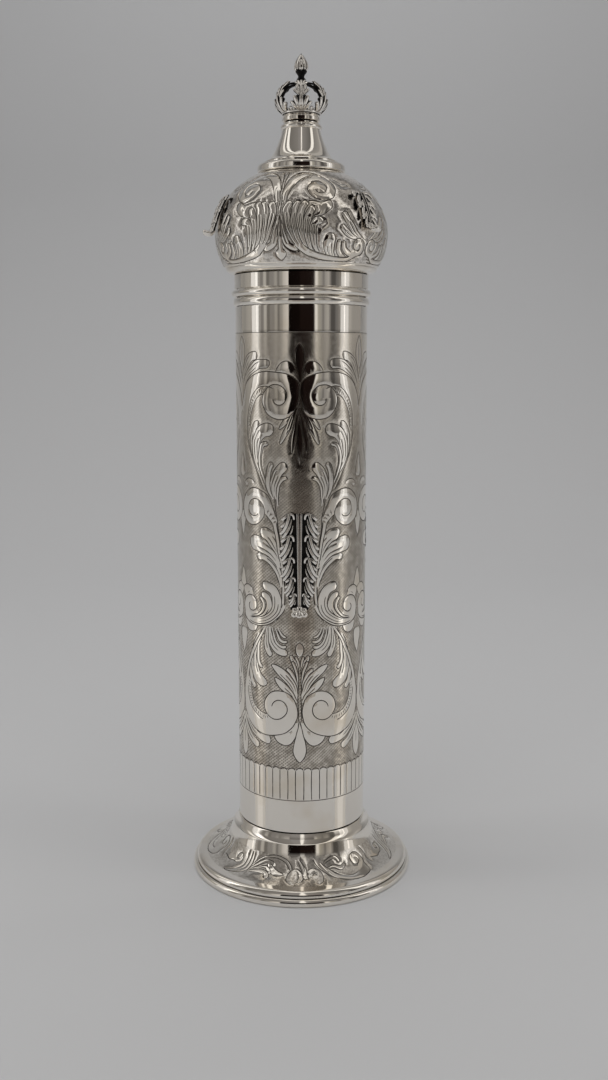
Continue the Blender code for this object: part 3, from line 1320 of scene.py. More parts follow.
def standing_petal(axis: float, tip: float, base: float, half: float) -> Petal:
    """A standing or hanging petal, cut off by what lies over its broad root.

    Args:
        axis: place of its axis across the drawing.
        tip: height of its point.
        base: height of its root.
        half: half its greatest width.

    Returns:
        The petal.
    """
    broad = base + 0.4 * (tip - base)
    return Petal(axis, ((0, tip), (0.35 * half, tip + 0.25 * (broad - tip)), (0.9 * half, broad),
                        (half, 0.5 * (base + broad)), (0.7 * half, base), (0, base)))


class TubeOrnament:
    """What is engraved on the tube: paired scrolls and fronds that climb from a row of flutes."""

    def __init__(self, face: Face) -> None:
        """Start the drawing.

        Args:
            face: the face that carries it.
        """
        self.drawing = Drawing(Graver())
        self.side = face.half_width

    def draw(self) -> Drawing:
        """Draw everything, from the parts that lie behind to those in front.

        Returns:
            The drawing.
        """
        self.flutes()
        self.between_repeats()
        self.hanging_palmette()
        self.upper_sprays()
        self.middle_sprays()
        self.standing_palmette()
        self.lower_scroll()
        return self.drawing

    def flutes(self, low: float = 44.2, shoulder: float = 59.4, count: int = 17) -> None:
        """Upright flutes with round tops, between lines that run round the tube at its foot and near its top.

        Args:
            low: height of their feet.
            shoulder: height at which their round tops begin.
            count: how many there are in one repeat.
        """
        pitch = 2 * self.side / count
        chance = np.random.default_rng(3)
        foot_line, top_line = 44.0, 270.6
        self.drawing.clear(40, shoulder + 0.7, self.side)
        self.drawing.clear(top_line, 280, self.side)
        for height, share in ((foot_line, 0.9), (top_line, 0.6)):
            self.drawing.stroke([(x, height) for x in (-1, 0.5 * self.side, self.side + 1)], share, 0)
        for k in range(count // 2 + 1):
            left, right = pitch * (k - 0.5), pitch * (k + 0.5)
            lean = chance.normal(0, 0.06)
            self.drawing.stroke([(right, low), (right + lean, 0.5 * (low + shoulder)),
                                 (right, shoulder + 0.4)], 1.0, 0.4)
            top = arc((0.5 * (left + right), shoulder - 0.2), (0.46 * pitch, 1.6), 172, 8, 6)
            self.drawing.lines.append(self.drawing.graver.cut(np.array(top), 0.3, 0.3, 1.15))

    def between_repeats(self) -> None:
        """Petals on the line where one repeat meets the next."""
        side = self.side
        self.drawing.lay(standing_petal(side, 158.7, 146.5, 3.0),
                         standing_petal(side, 115.5, 128.0, 3.3),
                         standing_petal(side, 174.0, 186.0, 2.7),
                         standing_petal(side, 214.6, 203.0, 2.2),
                         Petal(side, ((0, 269.4), (1.4, 267.3), (2.6, 263.6), (2.7, 260), (1.6, 255.5),
                                      (0, 254)), (266.0, 256.0)))

    def hanging_palmette(self) -> None:
        """Blades that hang from the upper scrolls, and the bud between them."""
        self.drawing.lay(Petal(0, ((0, 209.3), (0.8, 212.5), (1.3, 219), (1.0, 226), (0, 231))),
                         Frond(1.8, ((0.8, 233), (2.2, 225), (3.2, 219), (3.6, 214.2)), Tip.POINTED, 0),
                         Frond(2.4, ((1.8, 236.5), (5.2, 231.5), (8.0, 228.6), (10.0, 225.8)),
                               Tip.POINTED, 0),
                         Frond(3.0, ((1.2, 236), (4.2, 229.5), (6.8, 224), (9.3, 218.9)), Tip.POINTED, 0.6),
                         Petal(0, ((0, 265.3), (1.4, 263.5), (2.2, 260), (1.9, 256), (1.0, 251.5),
                                   (0.4, 247.5))))

    def upper_sprays(self) -> None:
        """The scroll under the top edge, its foliage, and the sprays that rise to it."""
        drawing = self.drawing
        drawing.stroke([(14.5, 195), (18, 202), (22, 209), (25.5, 215)])
        drawing.stroke([(17, 197), (21, 204), (25.5, 212), (28, 219), (29, 226)])
        drawing.lay(Frond(4.2, ((32.8, 248), (30.5, 254), (27, 258.7), (21.5, 260))),
                    Frond(4.5, ((31.5, 246), (27, 252.5), (21, 256), (14.5, 255.8))),
                    Lobe(((1.8, 252.6), (3.5, 256.5), (6, 257.5), (8.5, 256.8), (10.3, 255), (11.2, 252.6))),
                    Frond(3.2, ((21.5, 208), (25, 216), (25, 223), (23, 227.4), (20.3, 228.5))),
                    Frond(6.0, ((19.5, 206), (22.8, 214), (21.8, 221), (18, 225), (12.5, 225.3))),
                    Frond(2.2, ((16.5, 200), (19.8, 208), (20.2, 214), (18.3, 218.3), (15.2, 218.9)), vein=0),
                    Frond(2.0, ((10.6, 190), (10.9, 196), (10, 200.5), (8, 202.8), (5.6, 203)), vein=0),
                    Frond(4.6, ((11.8, 193), (12.8, 198), (11.6, 203.5), (9, 207.3), (5.8, 209.2))),
                    Frond(2.6, ((13, 193), (15.3, 199), (15.6, 205), (14.2, 209), (12.8, 210.2)), vein=0))
        edge = ((12.5, 244.8), (15, 245.6), (18, 245.9), (21, 245), (24, 242.5), (26.3, 239.3), (27.8, 235),
                (28.8, 225))
        drawing.lay(Ribbon(((14.5, 242.2), (17.5, 242.4), (20.5, 241.3), (23, 238.8), (25, 235.5),
                            (26.3, 231), (26.8, 226)), edge))
        drawing.lay(Scroll(((33.3, 236), (32, 242), (28.5, 248), (21, 252), (10, 252.3), (5.5, 251.2),
                            (2.2, 249.3), (0.6, 247), (0.3, 243), (0.8, 238.5), (2.2, 234.5)),
                           Spiral((10.5, 240.5), 10.5, 2.3, 235, 485), edge))

    def middle_sprays(self) -> None:
        """The long stem beside the applied leaf, the scroll at its top and the sprays that leave it."""
        drawing = self.drawing
        drawing.lay(Frond(1.5, ((12.5, 134), (9.0, 139.5), (7.7, 149), (8.5, 162)), vein=0, root=0.8),
                    Frond(3.8, ((8.6, 151), (10.6, 158.5), (14.5, 163.4), (18.8, 165.4), (22.0, 164.0))),
                    Frond(7.4, ((9.5, 160), (13, 167), (18.5, 170.4), (27.2, 171.4)), vein=0.82),
                    Frond(5.8, ((9.6, 165), (12.4, 172.2), (16.0, 175.9), (20.4, 176.2))))
        edge = ((10.5, 182), (13.5, 187.5), (17, 190))
        drawing.lay(Lobe(((23.2, 199.4), (25, 201.6), (28, 202.1), (30.5, 201), (31.8, 199.2)),
                         (((29, 198.6), (29.7, 198.3), (30.3, 197.8)),)))
        drawing.lay(Scroll(((8, 160), (9.5, 170), (11, 180), (12.5, 188)),
                           Spiral((24, 187.5), 11.0, 3.0, 137, -643), ((13, 181), (11, 170), (9, 160)), 0.45))
        drawing.lay(Ribbon(((13, 181), (15.5, 184), (17.5, 186)), edge))
        drawing.stroke([(12.5, 195), (11, 184), (9.4, 172), (8, 160), (7, 145), (9, 137.5)])
        drawing.lay(Frond(1.4, ((10.5, 131), (9.5, 128.3), (8.2, 126.6), (6.3, 126.3)), vein=0),
                    Frond(1.5, ((12, 131), (10.9, 127.5), (9.6, 124.8), (7.3, 123.9), (6, 124.8)), vein=0),
                    Frond(1.6, ((13.6, 131), (12.8, 127), (11.5, 123.5), (9, 121.5), (6.2, 122)), vein=0),
                    Frond(3.6, ((15, 131), (14.6, 126), (12.5, 121), (9, 118.9), (5.9, 119.2))),
                    Frond(2.8, ((16.5, 131), (17, 126), (16.6, 121), (15.6, 118.2), (13.9, 116.6))),
                    Frond(2.6, ((24.5, 120), (27, 112), (27.2, 105), (25.6, 101), (23.9, 99.4)), vein=0),
                    Frond(5.5, ((21.5, 127), (24, 118), (24.6, 111), (22.5, 105.2), (19.5, 103.2),
                                (16.8, 103.8))),
                    Frond(2.0, ((18.5, 131), (21, 124), (22, 117.5), (21.6, 112.8), (19, 110.0)), vein=0))
        drawing.lay(Lobe(((25.2, 145.4), (26.2, 148.7), (29, 150.1), (32, 149.3), (33.5, 147.8),
                          (31.0, 143.5)), (((28, 146.8), (29, 146.5), (29.8, 145.6)),)),
                    Lobe(((22.3, 131.5), (24, 127.8), (26.5, 127), (29.3, 128), (31, 132))))
        drawing.lay(Scroll(((7, 141), (9, 137.5), (12.5, 134), (17, 131.5), (22, 130.9), (28, 131.6),
                            (32, 134.5)),
                           Spiral((26.6, 140.3), 6.6, 1.5, -30, 450), ((22, 133.5), (13, 136.5), (8, 143)),
                           0.5))
        drawing.lay(Frond(1.6, ((27, 135), (22, 136), (18.8, 139.5), (18.8, 143.2), (20.9, 145.2)), vein=0),
                    Frond(3.2, ((27, 134), (20, 134.8), (16.0, 139.3), (15.8, 144.4), (19.8, 147.0)),
                          vein=0.6),
                    Frond(4.8, ((28, 133.5), (20, 133.5), (13.3, 137.5), (11.2, 144), (13.6, 149.6),
                                (19.0, 151.0))))

    def standing_palmette(self) -> None:
        """Leaves that stand between the lower scrolls."""
        drawing = self.drawing
        drawing.lay(Petal(0, ((0, 124.2), (1.2, 123.2), (1.95, 121.2), (1.9, 119.2), (1.1, 117.6),
                              (0, 117.0))),
                    Lobe(((0.8, 112), (2.4, 112.8), (4.4, 114.6), (5.0, 117.4), (3.6, 117.6), (2.4, 115.6),
                          (0.9, 115.4)), (((1.4, 113.4), (2.8, 114.4), (3.8, 116.2)),)),
                    Frond(1.4, ((0.5, 111), (1.0, 114.5), (2.2, 117.4)), vein=0),
                    Frond(1.4, ((0.8, 103), (1.6, 108.5), (2.8, 112.4), (4.0, 114.8)), vein=0),
                    Frond(1.8, ((1.0, 99), (2.2, 104.5), (4.2, 108.8), (6.6, 110.8)), vein=0),
                    Frond(4.4, ((1.4, 96), (3.8, 103), (8.0, 108), (14.2, 112.3)), Tip.POINTED),
                    Frond(3.6, ((1.6, 94), (4.3, 98.3), (8.3, 102.2), (12.4, 106)), Tip.POINTED, 0.6))
        drawing.stroke([(0.7, 84), (0.75, 98), (0.5, 112)])

    def lower_scroll(self) -> None:
        """The big scroll above the flutes, and the leaves under it."""
        drawing = self.drawing
        drawing.lay(Petal(self.side, ((0, 62.2), (2.0, 64.5), (2.9, 67.5), (3.1, 71), (2.5, 75), (1.4, 79.5),
                                      (0, 86)), (69, 77)),
                    Frond(3.6, ((33.4, 83), (30, 76), (26, 72), (21.8, 69.7))),
                    Frond(4.6, ((33, 85), (27.5, 79.3), (21, 75.3), (14.6, 74.0))),
                    Lobe(((0.6, 84), (1.2, 79.5), (2.6, 75.6), (4.6, 73), (7, 72.1), (9.6, 72.8),
                          (11.8, 74.3), (13.2, 78)), (((3.5, 80), (4.4, 79.2), (5.5, 78.8)),)))
        edge = ((15, 85.4), (17.8, 84.0), (21.3, 84.5), (25.6, 87.2), (28.8, 92), (30, 98), (29.4, 104),
                (26.8, 112.5), (22.5, 121.5), (16.5, 131))
        drawing.lay(Scroll(((18, 131), (26.8, 117), (32, 103), (33.3, 94), (32.5, 86.5), (28.5, 80.8),
                            (23, 77.6), (17, 76.2), (10.5, 77.2), (5.2, 79.9), (2.2, 84), (1.1, 89.5),
                            (2.3, 95)),
                           Spiral((11, 91), 9.6, 3.1, 155, -515), edge, 0.45))
        drawing.lay(Ribbon(((16.3, 87.2), (19, 87.4), (22, 88.4), (24.5, 90.6), (26.3, 93.6), (27.2, 97.5),
                            (27.3, 102)), edge[:7]))
        drawing.lay(Petal(0, ((0, 63.5), (2.0, 65.8), (3.2, 69.5), (2.9, 73), (1.9, 77), (0.9, 81),
                              (0, 85.5))))


class Chaser:
    """Draws on a spun face, with places given in degrees from the axis and in heights or radii."""

    def __init__(self, face: Face, by_radius: bool = False) -> None:
        """Start the drawing.

        Args:
            face: the face that carries the work.
            by_radius: whether levels are given as radii; otherwise they are heights.
        """
        self.face = face
        self.level = face.up_at_radius if by_radius else face.up_at_height
        self.drawing = Drawing(Graver(0.18))

    def at(self, *places: Point) -> Points:
        """Places in the drawing."""
        return tuple((self.face.along(angle), self.level(level)) for angle, level in places)

    def size(self, level: float) -> float:
        """Millimetres on the face for one in the drawing, at that height or radius."""
        return float(self.face.scale(self.level(level)))

    def frond(self, width: float, *places: Point, tip: Tip = Tip.ROUND, vein: float = 0.75) -> None:
        """Lay a frond of that width in millimetres."""
        scale = self.size(places[len(places) // 2][1])
        self.drawing.lay(Frond(width / scale, self.at(*places), tip, vein))

    def lobe(self, *places: Point) -> None:
        """Lay a lobe with that outline."""
        self.drawing.lay(Lobe(self.at(*places)))

    def stroke(self, *places: Point) -> None:
        """Cut a free line."""
        self.drawing.stroke(list(self.at(*places)))

    def scroll(self, outer: Points, centre: Point, radii: Point, turn: Point,
               inner: Points = (), closes_at: float = 0.5) -> None:
        """Lay a scroll with its volute.

        Args:
            outer: the outer edge up to the volute.
            centre: centre of the volute.
            radii: its outer and inner radius in millimetres.
            turn: first angle and sweep of the spiral in degrees.
            inner: the inner edge, back from the volute.
            closes_at: share of the spiral that bounds the filled band.
        """
        scale = self.size(centre[1])
        spiral = Spiral(self.at(centre)[0], radii[0] / scale, radii[1] / scale, turn[0], turn[1], 1.15)
        self.drawing.lay(Scroll(self.at(*outer), spiral, self.at(*inner), closes_at))


class DomeOrnament(Chaser):
    """What is chased on the dome: ribbed blades on each side of a stem, under paired volutes."""

    def draw(self) -> Drawing:
        """Draw everything, from the parts that lie behind to those in front.

        Returns:
            The drawing.
        """
        self.lobe((14, 327), (20, 328), (27, 327.3), (33, 328.5), (34, 326), (29, 322.6), (22, 321.2),
                  (16, 322))
        self.scroll(((0.8, 328), (1.2, 334), (3.5, 338), (8, 340.8), (15, 342.2), (25, 341.8), (33, 339.6)),
                    (27, 334), (8.0, 1.9), (45, -585),
                    ((20, 340.3), (13, 338.6), (8.5, 335.5), (5, 331), (4, 326)), 0.35)
        self.frond(1.8, (40, 339), (46, 336.4), (52.5, 336.6), vein=0)
        self.frond(3.2, (13, 307.5), (7.8, 313.5), (4.8, 320), (4.3, 324.5), (7.6, 327.8))
        self.frond(3.2, (15.5, 307), (10.5, 314), (9.3, 320.5), (10.6, 325.8), (13, 327.9))
        self.frond(3.4, (18.5, 306.5), (13.8, 314), (13, 320.5), (14.5, 325.5), (17.5, 328))
        self.frond(3.4, (21, 306), (17.5, 313), (17.6, 319), (20, 323.8), (22.5, 325.2))
        self.frond(3.2, (25, 305), (21.5, 311), (21, 316.5), (23.3, 319.6), (27.4, 318.4))
        self.frond(3.0, (0.5, 322), (2.2, 314.5), (5.5, 309.0), (12, 307.3))
        self.frond(3.6, (58.5, 311.5), (50.5, 314.8), (45, 319.5), (41.5, 323.8))
        self.frond(3.0, (53, 312.5), (45.5, 313.8), (39, 318))
        self.frond(2.4, (56, 304.5), (48, 305.4), (43, 307.5), (42, 311.2), vein=0)
        self.frond(2.4, (54, 303.2), (44, 303.8), (38.6, 307), (38.8, 311.6), vein=0)
        self.frond(5.0, (38, 302.5), (32.8, 305.5), (31.5, 310), (34.3, 313.8))
        self.scroll(((9, 309), (13, 306.3), (19, 304.0), (27, 302.7), (37, 302.2), (47, 302.4)),
                    (53.2, 309.2), (4.9, 0.9), (-88, 540),
                    ((48, 304.5), (38, 304.1), (28, 305.0), (19, 307.3), (14, 309.8)), 0.4)
        stem = self.at((0, 302.3), (1.9, 303.2), (3.5, 305.2), (2.6, 306.7), (1.5, 307.6), (1.2, 311),
                       (0.8, 316), (0, 322))
        self.drawing.lay(Petal(0, stem))
        self.stroke((0.9, 321), (0.7, 330), (1.0, 337), (2.4, 342.5))
        return self.drawing


class FootOrnament(Chaser):
    """What is chased on the foot: a running acanthus scroll between two volutes."""

    def draw(self) -> Drawing:
        """Draw everything, from the parts that lie behind to those in front.

        Returns:
            The drawing.
        """
        self.stroke((114, 36.9), (117.4, 39), (116.6, 42), (119.5, 44.5))
        self.frond(1.6, (80, 39.4), (84.6, 38.0), (89, 37.6), (92, 39.2), vein=0)
        self.frond(2.0, (82.5, 41.2), (87, 40.4), (92, 41.2), (96, 39.8), vein=0)
        self.scroll(((72, 37.4), (77, 40.4), (83, 43.9), (90, 46.9), (97, 48.6), (105, 48.6), (111.5, 46.4)),
                    (106, 39.9), (4.8, 1.0), (-38, 510),
                    ((103.5, 45.2), (97, 46.0), (90, 44.2), (83.5, 41.2), (77.5, 38.3)), 0.35)
        self.frond(1.5, (28.5, 41.2), (34, 38.3), (44, 37.2), (53, 38.2), (56.6, 40.8), vein=0)
        self.frond(1.9, (27.5, 43.0), (32.5, 40.2), (38, 38.9), (44, 39.4), vein=0)
        self.frond(3.2, (39.5, 38.8), (42.6, 40.9), (46.8, 42.6), (51.8, 42.4), tip=Tip.POINTED, vein=0)
        self.frond(1.5, (33, 42.0), (37.6, 40.8), (41.4, 41.8), (42.8, 43.6), vein=0)
        self.frond(2.2, (26.5, 44.6), (32, 43.2), (37.6, 42.8), (40.8, 43.8), (41.4, 46.0), vein=0)
        self.stroke((64.6, 41.8), (60, 40.3), (55.8, 41.6), (54.2, 44.6), (56.4, 47.4), (60, 48.2))
        self.stroke((68.6, 41.4), (72, 39.9), (76, 40.8), (78.4, 43.8), (77.2, 46.8), (74.6, 47.8),
                    (73, 46.4))
        self.stroke((71, 43.6), (73, 42.2), (75, 43.4))
        self.frond(2.6, (60.4, 40.9), (63, 42.2), (63.8, 44.2), (61.4, 46.8), tip=Tip.POINTED, vein=0)
        self.frond(2.6, (61.6, 37.5), (64.8, 39.6), (66.6, 42), (66.6, 45.2), vein=0)
        self.lobe((21, 36.9), (22.2, 39.5), (20.8, 43), (17, 46.2), (11, 48.6), (18, 47.8), (24, 45.6),
                  (27.4, 42), (27.8, 39), (26.6, 36.9))
        self.stroke((24.2, 37.0), (25.2, 39.4), (24, 42.6), (20, 46.0))
        self.scroll(((-5, 41.4), (2, 42.5), (7.5, 43.2)), (13.6, 40.1), (3.5, 0.8), (-118, 450), (), 1.0)
        return self.drawing


def shell(outer: Path, wall: float) -> Path:
    """Closed outline of a sheet whose outer face is given, with the wall on the left of its direction.

    Args:
        outer: (radius, height) points of the outer face.
        wall: thickness of the sheet.

    Returns:
        The outer face, and the inner face back again.
    """
    line = np.array(outer, float)
    inner = line + leftward(line) * wall
    return [*outer, *[tuple(p) for p in inner[::-1]], outer[0]]


def in_mm(box: tuple[Vector, Vector]) -> tuple[float, float, float]:
    """Radius, bottom and top in millimetres of a piece with that box."""
    low, high = box
    return high.x / MM, low.z / MM, high.z / MM


@dataclass
class Turned:
    """Makes turned pieces of one finish. Sizes are in millimetres."""

    finish: Material
    columns: int = 160

    def piece(self, name: str, outline: Path, node: str) -> bpy.types.Object:
        """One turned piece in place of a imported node.

        Args:
            name: the piece's name.
            outline: closed outline, with the metal on the left of its direction.
            node: the node that it stands for.

        Returns:
            The object.
        """
        piece = Skin(turned_block(outline, self.columns)).build(name, [self.finish])
        takes_place(piece, node)
        return piece

    def wire(self, name: str, node: str, inner: float) -> bpy.types.Object:
        """A half-round wire, as wide and high as its node.

        Args:
            name: the piece's name.
            node: the node that it stands for.
            inner: radius of its hole.

        Returns:
            The object.
        """
        outer, bottom, top = in_mm(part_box(node))
        flat = inner + 0.3 * (outer - inner)
        round_side = arc((flat, 0.5 * (bottom + top)), (outer - flat, 0.5 * (top - bottom)), -90, 90, 20)
        return self.piece(name, [(inner, bottom), *round_side, (inner, top), (inner, bottom)], node)


class Bed:
    """A strip along which castings are modelled: it follows a profile, and bends back on both sides of it."""

    def __init__(self, profile: Path, azimuth: float, bend: float) -> None:
        """Take the strip from its middle line.

        Args:
            profile: (radius, height) points of the middle line in millimetres.
            azimuth: its azimuth in degrees.
            bend: radius in millimetres to which it bends back at its sides.
        """
        self.line = evenly(np.array(profile, float), FINE)
        self.run = run_along(self.line)
        side = 1 if self.line[-1][1] < self.line[0][1] else -1
        self.normal = leftward(self.line) * side
        self.bend = bend
        self.azimuth = math.radians(azimuth)

    def place(self, across: Array, along: Array, lift: Array) -> Array:
        """Points in metres that stand off the strip.

        Args:
            across: places across the strip.
            along: places along it.
            lift: distance from it in millimetres.

        Returns:
            The points.
        """
        r, z = (np.interp(along, self.run, self.line[:, k]) for k in (0, 1))
        nr, nz = (np.interp(along, self.run, self.normal[:, k]) for k in (0, 1))
        turn = across / self.bend
        out = (self.bend + lift) * np.cos(turn) - self.bend
        aside = (self.bend + lift) * np.sin(turn)
        sine, cosine = math.sin(self.azimuth), math.cos(self.azimuth)
        reach = r + nr * out
        x, y = reach * sine + aside * cosine, -reach * cosine + aside * sine
        return np.stack([x, y, z + nz * out], -1) * MM


class Rub(Enum):
    """What a face of a casting is: rubbed bright by the cloth, still black, or the plain back of a leaf."""

    BRIGHT = 0
    BLACK = 1
    BACK = 2


class Casting:
    """A cast piece, modelled in millimetres from ribs and turned bodies, and welded where points meet."""

    step: float = 0.45
    weld: float = 0.004

    def __init__(self, sections: int = 10) -> None:
        """Start with nothing.

        Args:
            sections: points round each rib.
        """
        self.sections = sections
        self.points: list[Array] = []
        self.faces: list[tuple[int, ...]] = []
        self.kinds: list[int] = []
        self.count = 0

    def grid(self, rows: Array, kinds: Array | Rub = Rub.BLACK) -> None:
        """Faces between rows of points that each close on themselves.

        Args:
            rows: the points: row, place in the row, and coordinates.
            kinds: one kind for all the faces, or the number of each one's.
        """
        length, around = rows.shape[:2]
        if isinstance(kinds, Rub):
            kinds = np.full((length - 1, around), kinds.value)
        for i in range(length - 1):
            for j in range(around):
                k = (j + 1) % around
                corners = (i * around + j, i * around + k, (i + 1) * around + k, (i + 1) * around + j)
                self.faces.append(tuple(c + self.count for c in corners))
        self.kinds += kinds.ravel().tolist()
        self.points.append(rows.reshape(-1, 3))
        self.count += length * around

    def rib(self, bed: Bed, path: Path, width: float, rise: tuple[float, ...], thick: float = 0.55,
            tip: Tip = Tip.ROUND, root: float = 0.45, crest: float = 0.0, rubbed_from: float = -9.0) -> None:
        """A rib with an oval section along a path on a bed.

        Args:
            bed: the strip that it lies on.
            path: places across and along the strip.
            width: its greatest width.
            rise: heights of its middle over the bed, evenly spread from its root to its tip.
            thick: half its thickness.
            tip: how it ends.
            root: its width at the root as a share of the greatest.
            crest: cosine of the slope up to which its back is rubbed bright.
            rubbed_from: height over the bed below which it stays black.
        """
        middle = spline(path, self.step)
        along = np.linspace(0, 1, len(middle))
        half = Frond(width, tuple(path), tip, 0, root).half_widths(length_of(middle), along)
        half[0] = 0.0
        lift = np.interp(along, np.linspace(0, 1, len(rise)), rise)
        depth = thick * np.sqrt(np.clip(half / half.max(), 0, 1))
        angle = math.tau * (np.arange(self.sections) / self.sections)
        aside = (half[:, None] * np.sin(angle)[None, :])[..., None]
        flat = middle[:, None, :] + leftward(middle)[:, None, :] * aside
        height = lift[:, None] + depth[:, None] * np.cos(angle)[None, :]
        back = np.cos(angle + math.pi / self.sections)[None, :] > crest
        level = 0.5 * (height[1:] + height[:-1])
        bright = back & (0.5 * (level + np.roll(level, -1, axis=1)) > rubbed_from)
        self.grid(bed.place(flat[..., 0], flat[..., 1], height),
                  np.where(bright, Rub.BRIGHT.value, Rub.BLACK.value))

    def pair(self, bed: Bed, path: Path, width: float, rise: tuple[float, ...], **more: object) -> None:
        """A rib and its mirror image across the middle of the bed."""
        self.rib(bed, path, width, rise, **more)
        self.rib(bed, [(-x, y) for x, y in path], width, rise, **more)

    def plate(self, bed: Bed, half_widths: Path, top: float, bottom: float = 0.0) -> None:
        """A flat plate on a bed.

        Args:
            bed: the strip that it lies on.
            half_widths: places along it, with half its width at each.
            top: height of its face over the bed.
            bottom: height of its back.
        """
        places, halves = np.array(half_widths, float).T
        along = np.arange(places[0], places[-1], 0.8)
        half = np.interp(along, places, halves)
        share = np.array([-1, -0.6, -0.2, 0.2, 0.6, 1, 0.6, 0.2, -0.2, -0.6])
        level = np.array([0.5 * (top + bottom), top, top, top, top, 0.5 * (top + bottom)] + [bottom] * 4)
        rows = bed.place(half[:, None] * share[None, :], along[:, None] + 0 * share[None, :],
                         0 * half[:, None] + level[None, :])
        ends = rows.mean(axis=1, keepdims=True).repeat(len(share), axis=1)
        kinds = np.full((len(along) + 1, len(share)), Rub.BLACK.value)
        kinds[:, 5:] = Rub.BACK.value
        self.grid(np.concatenate([ends[:1], rows, ends[-1:]]), kinds)

    def turned(self, outline: Path, columns: int = 32, lobes: int = 0, depth: float = 0.0,
               kind: Rub = Rub.BRIGHT) -> None:
        """A turned body from the axis or round it, with optional lobes.

        Args:
            outline: (radius, height) points in millimetres.
            columns: points round the axis.
            lobes: number of lobes.
            depth: how deep they are as a share of the radius.
            kind: whether it is rubbed bright.
        """
        azimuth = np.linspace(0, math.tau, columns, endpoint=False)
        line = np.array(outline, float)
        radius = line[:, :1] * (1 + depth * np.cos(lobes * azimuth)[None, :])
        self.grid(turned_points(radius, line[:, 1:], azimuth[None, :]), kind)

    def build(self, name: str, finishes: list[Material], *nodes: str) -> bpy.types.Object:
        """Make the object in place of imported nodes.

        Args:
            name: its name.
            finishes: the materials, in the order of Rub.
            nodes: the nodes that it stands for.

        Returns:
            The object.
        """
        mesh = bpy.data.meshes.new(name)
        mesh.from_pydata(np.concatenate(self.points).tolist(), [], self.faces)
        mesh.polygons.foreach_set("material_index", self.kinds)
        work = bmesh.new()
        work.from_mesh(mesh)
        bmesh.ops.remove_doubles(work, verts=work.verts, dist=self.weld * MM)
        bmesh.ops.recalc_face_normals(work, faces=work.faces)
        work.to_mesh(mesh)
        work.free()
        mesh.shade_smooth()
        for finish in finishes:
            mesh.materials.append(finish)
        piece = put_in_scene(name, mesh)
        takes_place(piece, *nodes)
        return piece


@dataclass(frozen=True)
class Finger:
    """One finger of a leaf's lobe: places out from the stem and down from the tier, width, and rise."""

    path: Path
    width: float
    rise: tuple[float, ...]


